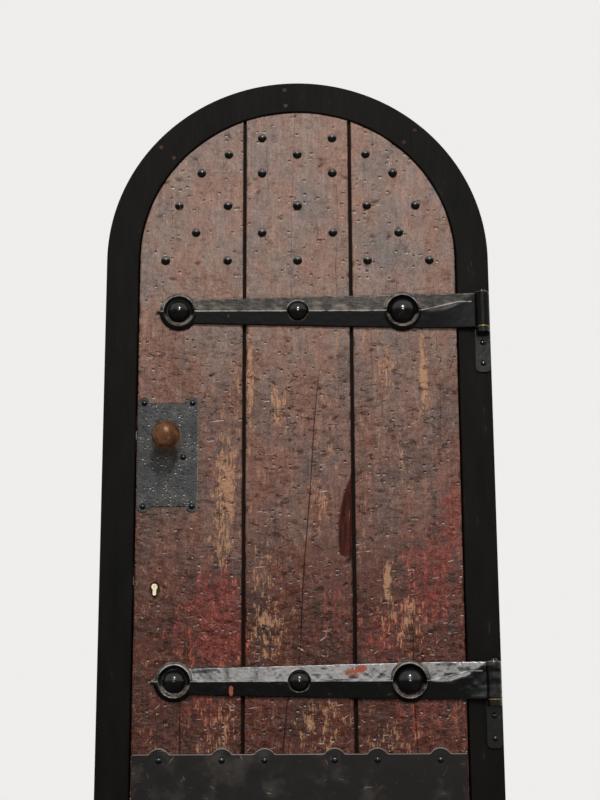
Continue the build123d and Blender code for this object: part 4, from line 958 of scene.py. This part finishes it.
def face_depths(x, z, left, right, seed, crack):
    """How far each point of the face lies behind the plank's true front, and its masks."""
    roll_depth = 0.7 * MM * (worn(x / 0.07, z / 0.22, seed, 2) + 1.2)
    fibre_depth = 0.22 * MM * (worn(x / 0.009, z / 0.16, seed + 10, 2) + 1.2)
    placed = np.array(KNOTS) * (1.0, 1.0, MM, MM, MM, 1.0)
    nicks = np.concatenate([random_nicks(left, right, seed + 20, NICKS_EACH), placed])
    nick_depth = stamped(x, z, nicks)
    chip_depth = stamped(x, z, edge_chips(left, right, seed + 30, CHIPS_EACH))
    edge_depth = rounded_edges(x, z, left, right, seed)
    torn, torn_depth = tear(x, z) if left < TEAR_STRIP[0] < right else (np.zeros_like(x), 0.0)
    depth = roll_depth + fibre_depth + nick_depth + chip_depth + edge_depth
    depth = np.maximum(depth, 0.08 * MM) * (1.0 - 0.7 * torn) + torn_depth
    crack_gap = x - crack_line(crack, z)
    fade = np.clip((z - crack[0][0] + 0.25) / 0.03, 0, 1) * np.clip((crack[-1][0] - z) / 0.12, 0, 1)
    masks = {
        "hollow": (nick_depth + chip_depth) / (2.2 * MM) + edge_depth / (5.0 * MM),
        "crack": np.where(fade > 0.02, crack_gap / np.maximum(fade, 0.15), 1.0),
        "bare": patches(x, z, BARE), "red": patches(x, z, RED), "torn": torn, "check": check_gap(x, z),
    }
    return depth, masks, fade


print(NICKS_EACH, "nicks and", CHIPS_EACH, "chips on each plank")

# %% [markdown]
# Now the planks themselves. The grid of points becomes the front of a block a little larger than
# the plank, and a Boolean modifier keeps what this block and the measured plank have in common.
# The front is then the worn one, and the grooves, the holes and the lock mortises stay as
# measured. The masks are worked out again at the points of the result, because a Boolean
# doesn't carry them over to new points.

# %% Worn planks
CRACK_DEPTH = 7.0 * MM
# How far behind the front the front's own finish reaches, and how softly it ends
FRONT_LAYER = 16.0 * MM
FRONT_FADE = 4.0 * MM


def worn_block(name, left, right, seed, crack):
    """A closed block with the worn front, a little larger than the plank on its other sides."""
    x, z, crack_column = face_grid(left, right, crack)
    depth, _, fade = face_depths(x, z, left, right, seed, crack)
    depth[:, crack_column] += CRACK_DEPTH * fade[:, crack_column]
    rows, columns = x.shape
    front = np.stack([x, leaf_front + depth, z], axis=-1).reshape(-1, 3)
    grid = np.arange(rows * columns).reshape(rows, columns)
    corners = [grid[:-1, :-1], grid[:-1, 1:], grid[1:, 1:], grid[1:, :-1]]
    faces = np.stack(corners, axis=-1).reshape(-1, 4)
    rim = np.concatenate([grid[0, :-1], grid[:-1, -1], grid[-1, :0:-1], grid[:0:-1, 0]])
    back = front[rim].copy()
    back[:, 1] = leaf_back + 2 * SPARE
    ring = np.arange(len(front), len(front) + len(rim))
    sides = np.stack([np.roll(rim, -1), rim, ring, np.roll(ring, -1)], axis=-1)
    mesh = bpy.data.meshes.new(name)
    mesh.from_pydata(np.concatenate([front, back]).tolist(), [],
                     faces.tolist() + sides.tolist() + [ring[::-1].tolist()])
    work = bmesh.new()
    work.from_mesh(mesh)
    bmesh.ops.remove_doubles(work, verts=work.verts, dist=0.001 * MM)
    bmesh.ops.recalc_face_normals(work, faces=work.faces)
    work.to_mesh(mesh)
    work.free()
    return mesh


def merged_copy(name):
    """A copy of a measured piece with its loose triangles joined."""
    work = bmesh.new()
    work.from_mesh(nodes[name].data)
    bmesh.ops.remove_doubles(work, verts=work.verts, dist=0.01 * MM)
    mesh = bpy.data.meshes.new(f"{name}_copy")
    work.to_mesh(mesh)
    work.free()
    return shape_object(f"{name}_copy", mesh)


def result_of(rough):
    """The mesh that an object's modifiers give. The object goes."""
    mesh = bpy.data.meshes.new_from_object(rough.evaluated_get(bpy.context.evaluated_depsgraph_get()))
    bpy.data.objects.remove(rough)
    return mesh


def mesh_points(mesh, kind="co"):
    """The points of a mesh, or the directions that they face, as an array."""
    values = np.empty(len(mesh.vertices) * 3)
    mesh.vertices.foreach_get(kind, values)
    return values.reshape(-1, 3)


def store(mesh, name, values):
    """Keep one number for each point of a mesh."""
    layer = mesh.attributes.new(name, "FLOAT", "POINT")
    layer.data.foreach_set("value", np.asarray(values, dtype=np.float32))


def worn_plank(name, seed, crack):
    """The measured plank with a worn front."""
    low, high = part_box(f"plank_{name}")
    block = shape_object(f"{name}_block", worn_block(f"{name}_block", low.x, high.x, seed, crack))
    cutter = merged_copy(f"plank_{name}")
    cut = block.modifiers.new("keep", "BOOLEAN")
    cut.operation = "INTERSECT"
    cut.solver = "EXACT"
    cut.object = cutter
    mesh = result_of(block)
    bpy.data.objects.remove(cutter)
    x, y, z = mesh_points(mesh).T
    _, masks, _ = face_depths(x, z, low.x, high.x, seed, crack)
    masks["front"] = np.clip((leaf_front + FRONT_LAYER - y) / FRONT_FADE, 0.0, 1.0)
    for mask, values in masks.items():
        store(mesh, mask, values)
    mesh.shade_smooth()
    mesh.set_sharp_from_angle(angle=radians(50.0))
    return mesh


plank_cracks = {"left": LEFT_CRACK, "middle": MIDDLE_CRACK, "right": RIGHT_CRACK}
planks = {}
for number, (name, crack) in enumerate(plank_cracks.items()):
    mesh = worn_plank(name, 100 * number + 7, crack)
    planks[name] = shape_object(f"plank_{name}_worn", mesh)
    mesh.materials.clear()
    mesh.materials.append(oak.material)
    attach(planks[name], "leaf")
    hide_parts(f"plank_{name}")
    print(name, "plank:", len(mesh.polygons), "faces")

# %% [markdown]
# The strap hinges were beaten out hot, so no face of theirs is flat and no edge is sharp. The
# measured strap has the right form with crisp edges. A voxel remesh spreads its points evenly,
# a little smoothing rounds the arrises as thick paint does, and a rolling surface moves the
# points in and out by less than a millimetre, more on the lower strap than on the upper.

# %% Forged straps


def even_copy(name, spacing, smoothing):
    """A closed copy of a measured piece with evenly spread points."""
    rough = merged_copy(name)
    remesh = rough.modifiers.new("even", "REMESH")
    remesh.mode = "VOXEL"
    remesh.voxel_size = spacing
    remesh.use_smooth_shade = True
    soften = rough.modifiers.new("soften", "SMOOTH")
    soften.factor = 0.5
    soften.iterations = smoothing
    return result_of(rough)


# Past this place the ridge climbs by this much in all on its way to the eye
RIDGE_TURN = 0.36
RIDGE_CLIMB = 26.0 * MM
# Only what stands this proud of the leaf gets the pale line: rubbed paint and a painted highlight
RAISED = 7.0 * MM
# Round the pin: the hole's radius, how far its wall reaches, and the zone without hammer marks
EYE_BORE = 10.4 * MM
EYE_WALL = 12.5 * MM
EYE_ZONE = 14.0 * MM
# The bosses: place across the door, and the radius of the bright line on each crest, rubbed paint and a
# painted highlight
BOSS_CRESTS = ((-0.348, 0.046), (0.0, 0.033), (0.307, 0.048))
# Places where the paint has come off the lower strap: x, z, half width, half height, strength
CHIPS = ((0.150, 0.530, 0.022, 0.017, 1.25), (0.178, 0.540, 0.014, 0.010, 1.0),
         (-0.189, 0.478, 0.007, 0.015, 1.3))
pin_axis = next(j for j in frame["joints"] if j["name"] == "leaf_swing")["pos_m"]


def forge(name, seed, beat, finish):
    """Replace a measured strap by one with hammer marks."""
    mesh = even_copy(name, 1.9 * MM, 2)
    points, facing = mesh_points(mesh), mesh_points(mesh, "normal")
    x, y, z = points.T
    blows = worn(x / 0.020 + y / 0.03, z / 0.017, seed, 2) * 0.8 + worn(x / 0.09, z / 0.06, seed + 5, 2)
    pin_gap = np.hypot(x - pin_axis[0], y - pin_axis[1])
    free = np.clip((leaf_front - y) / (2 * MM), 0.0, 1.0) * (pin_gap > EYE_ZONE)
    points = points + facing * (blows * beat * free)[:, None]
    points[:, 1] = np.minimum(points[:, 1], leaf_front)
    bore = pin_gap < EYE_WALL
    away = (points[bore, :2] - np.array(pin_axis[:2])) / pin_gap[bore][:, None]
    points[bore, :2] = np.array(pin_axis[:2]) + away * EYE_BORE
    low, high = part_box(name)
    middle_z = (low.z + high.z) / 2
    raised = np.clip((leaf_front - y - RAISED) / (2 * MM), 0.0, 1.0)
    tail = np.clip((x - RIDGE_TURN) / 0.11, 0.0, 1.0)
    ridge = np.exp(-((z - middle_z - tail * RIDGE_CLIMB) / (2.0 * MM)) ** 2) * (x < pin_axis[0] - 0.03)
    for boss_x, crest in BOSS_CRESTS:
        reach = np.hypot(x - boss_x, z - middle_z)
        ridge = np.where(reach < crest, 0.0, ridge)
        above = np.clip((z - middle_z) / crest + 0.4, 0.0, 1.0)
        ridge = np.maximum(ridge, np.exp(-((reach - crest) / (1.8 * MM)) ** 2) * above)
    # Where the pale line goes: rubbed paint and a painted highlight along the ridge and crests.
    store(mesh, "edge", ridge * raised)
    mesh.vertices.foreach_set("co", points.reshape(-1))
    if finish is hammered_iron:
        store(mesh, "chip", patches(x, z, CHIPS))
    strap = shape_object(f"{name}_forged", mesh, finish)
    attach(strap, "leaf")
    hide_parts(name)
    print(name, len(mesh.polygons), "faces")


forge("strap_upper", 31, 0.25 * MM, strap_iron)
forge("strap_lower", 57, 0.65 * MM, hammered_iron)

# %% [markdown]
# Sheet steel has no sharp arris left after years of boots and hands. The kick plate and the plate
# behind the knob keep their measured outline. A narrow band is set in from the outline of the
# front, and the band's outer points are moved back a little, which leaves a slope all round. The
# finishes paint a pale highlight on that slope: where it faces up on the kick plate, and where it
# faces right on the plate behind the knob.

# %% Sheets with worn arrises


def ease(name, width, drop, body, finish):
    """Replace a measured sheet by one with its front arrises worn off."""
    rough = merged_copy(name)
    work = bmesh.new()
    work.from_mesh(rough.data)
    front_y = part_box(name)[0].y
    front = [f for f in work.faces if all(abs(v.co.y - front_y) < 0.05 * MM for v in f.verts)]
    band = bmesh.ops.inset_region(work, faces=front, thickness=width, use_even_offset=True)["faces"]
    inner = {point for face in front for point in face.verts}
    for point in {point for face in band for point in face.verts} - inner:
        point.co.y += drop
    mesh = bpy.data.meshes.new(f"{name}_worn")
    work.to_mesh(mesh)
    work.free()
    bpy.data.objects.remove(rough)
    sheet = shape_object(f"{name}_worn", mesh, finish)
    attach(sheet, body)
    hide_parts(name)
    print(name, len(mesh.polygons), "faces")


ease("kick_plate", 1.7 * MM, 0.7 * MM, "leaf", kick_steel)
ease("lock_plate", 1.4 * MM, 0.7 * MM, "leaf", plate_iron)

# %% [markdown]
# Twenty-three forged nails fill the arched head. What repeats is best described once, in Geometry
# Nodes, with its sizes as named inputs. A small class does for such a tree what the first one did
# for a material.

# %% Geometry Nodes with named inputs


class Pattern(Tree):
    """A Geometry Nodes tree with named inputs."""

    def __init__(self, name):
        super().__init__(bpy.data.node_groups.new(name, "GeometryNodeTree"))
        face = self.tree.interface
        face.new_socket("Geometry", in_out="INPUT", socket_type="NodeSocketGeometry")
        face.new_socket("Geometry", in_out="OUTPUT", socket_type="NodeSocketGeometry")
        self.entry = self.tree.nodes.new("NodeGroupInput")
        self.exit = self.tree.nodes.new("NodeGroupOutput")

    def input(self, name, kind, value=None):
        """Add a named input and give its wire."""
        socket = self.tree.interface.new_socket(name, in_out="INPUT", socket_type=f"NodeSocket{kind}")
        if value is not None:
            socket.default_value = value
        return Wire(self, self.entry.outputs[name])

    def join(self, *parts):
        """Several meshes as one."""
        node = self.tree.nodes.new("GeometryNodeJoinGeometry")
        for part in parts:
            self.tree.links.new(part.socket, node.inputs["Geometry"])
        return Wire(self, node.outputs["Geometry"])

    def vector(self, x, y, z):
        return self.add("ShaderNodeCombineXYZ", "Vector", {}, {"X": x, "Y": y, "Z": z})

    def block(self, width, depth, height, middle):
        """A block of a given size round a middle point."""
        cube = self.add("GeometryNodeMeshCube", "Mesh", {}, {"Size": self.vector(width, depth, height)})
        return self.add("GeometryNodeTransform", "Geometry", {}, {"Geometry": cube, "Translation": middle})

    def random(self, low, high, seed):
        """A number between two others, different for each point."""
        inputs = {"Min": low, "Max": high, "Seed": seed}
        return self.add("FunctionNodeRandomValue", "Value", {"data_type": "FLOAT"}, inputs)

    def end(self, geometry, finish):
        """Make the copies real, give them the finish and send them out."""
        real = self.add("GeometryNodeRealizeInstances", "Geometry", {}, {"Geometry": geometry})
        done = self.add("GeometryNodeSetMaterial", "Geometry", {}, {"Geometry": real, "Material": finish})
        self.feed(self.exit.inputs["Geometry"], done)


# %% [markdown]
# Each nail has a domed head, a square shank and a point that is bent over and driven back into
# the wood behind. The tree makes one nail, sets it on every place, turns it a little, makes it a
# little smaller, and dents it. No two nails come out the same.

# %% A nail as a tree of Geometry Nodes


def nail_pattern(name):
    """Nails on every point of a mesh, heads towards +Z of each point's own turn."""
    tree = Pattern(name)
    radius = tree.input("Head Radius", "Float", 0.014)
    height = tree.input("Head Height", "Float")
    side = tree.input("Shank Side", "Float", 0.006)
    length = tree.input("Shank Length", "Float")
    clench = tree.input("Clench Length", "Float", 0.024)
    beat = tree.input("Beat Depth", "Float", 0.0006)
    spread = tree.input("Size Spread", "Float", 0.06)
    seed = tree.input("Seed", "Int", 5)
    finish = tree.input("Finish", "Material")

    ball = tree.add("GeometryNodeMeshUVSphere", "Mesh", {}, {"Segments": 20, "Rings": 16, "Radius": 1.0})
    spot = tree.add("GeometryNodeInputPosition", "Position", {}, {})
    parts = {axis: tree.add("ShaderNodeSeparateXYZ", axis, {}, {"Vector": spot}) for axis in "XYZ"}
    under = parts["Z"].at_least(-0.1)
    place = tree.vector(parts["X"] * radius, parts["Y"] * radius, under * height)
    head = tree.add("GeometryNodeSetPosition", "Geometry", {}, {"Geometry": ball, "Position": place})
    head = tree.add("GeometryNodeSetShadeSmooth", "Geometry", {}, {"Geometry": head})
    half = tree.vector(0.0, 0.0, length * -0.5)
    shank = tree.block(side, side, length, half)
    tip = tree.vector(clench * 0.5, 0.0, 0.0 - length + side * 0.25)
    nail = tree.join(head, shank, tree.block(clench, side, side * 0.5, tip))

    turn = tree.add("GeometryNodeInputNamedAttribute", "Attribute", {"data_type": "FLOAT"}, {"Name": "turn"})
    lean = tree.random(-0.04, 0.04, seed)
    roll = tree.random(-0.08, 0.08, seed + 1)
    towards = tree.vector(lean + pi / 2, turn + roll, 0.0)
    size = tree.random(1.0 - spread, 1.0, seed + 2)
    across = tree.vector(size, size, 1.0)
    entry = Wire(tree, tree.entry.outputs["Geometry"])
    copies = tree.add("GeometryNodeInstanceOnPoints", "Instances", {},
                      {"Points": entry, "Instance": nail, "Rotation": towards, "Scale": across})
    real = tree.add("GeometryNodeRealizeInstances", "Geometry", {}, {"Geometry": copies})

    spot = tree.add("GeometryNodeInputPosition", "Position", {}, {})
    facing = tree.add("GeometryNodeInputNormal", "Normal", {}, {})
    dents = tree.add("ShaderNodeTexNoise", "Fac", {}, {"Vector": spot, "Scale": 105.0, "Detail": 1.0})
    depth = (dents - 0.75) * beat
    scaling = {"Vector": facing, "Scale": depth}
    move = tree.add("ShaderNodeVectorMath", "Vector", {"operation": "SCALE"}, scaling)
    dented = tree.add("GeometryNodeSetPosition", "Geometry", {}, {"Geometry": real, "Offset": move})
    tree.end(dented, finish)
    return tree


def grow(name, points, turns, tree, sizes):
    """Run a pattern over some places and give the plain mesh it makes."""
    mesh = bpy.data.meshes.new(name)
    mesh.from_pydata([tuple(point) for point in points], [], [])
    store(mesh, "turn", turns)
    places = shape_object(name, mesh)
    modifier = places.modifiers.new("pattern", "NODES")
    modifier.node_group = tree.tree
    for socket in tree.tree.interface.items_tree:
        if socket.in_out == "INPUT" and socket.name in sizes:
            modifier[socket.identifier] = sizes[socket.name]
    grown = result_of(places)
    grown.name = name
    return grown


bent_nail = nail_pattern("clenched_nail")
print("nail pattern:", len(bent_nail.tree.nodes), "nodes")

# %% [markdown]
# The rows of nails follow the arch: each row has one place on the middle line or none, and pairs
# to its left and right. Heights and distances are shares of the door's half width, as in the
# measured model.

# %% Nails in the arched head
# Each row: how far it lies above the springing, and how far its nails lie from the middle
NAIL_ROWS = ((-0.009, (0, 0.445, 0.839)), (0.178, (0.226, 0.647)), (0.361, (0, 0.445, 0.757)),
             (0.583, (0.226, 0.615)), (0.712, (0, 0.441)), (0.824, (0.226,)))
nail_places = [(side * offset * leaf_half, leaf_front, springing + rise * leaf_half)
               for rise, offsets in NAIL_ROWS for offset in offsets
               for side in ((1,) if offset == 0 else (1, -1))]
stud_low, stud_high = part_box("studs")
nail_sizes = {"Head Height": leaf_front - stud_low.y, "Shank Length": stud_high.y - leaf_front,
              "Finish": nail_iron.material}
nail_turns = [0.0 if place[0] <= 0 else pi for place in nail_places]
nails = shape_object("nails_forged", grow("nails_forged", nail_places, nail_turns, bent_nail, nail_sizes))
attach(nails, "leaf")
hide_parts("studs")
print(len(nail_places), "nails,", len(nails.data.polygons), "faces")
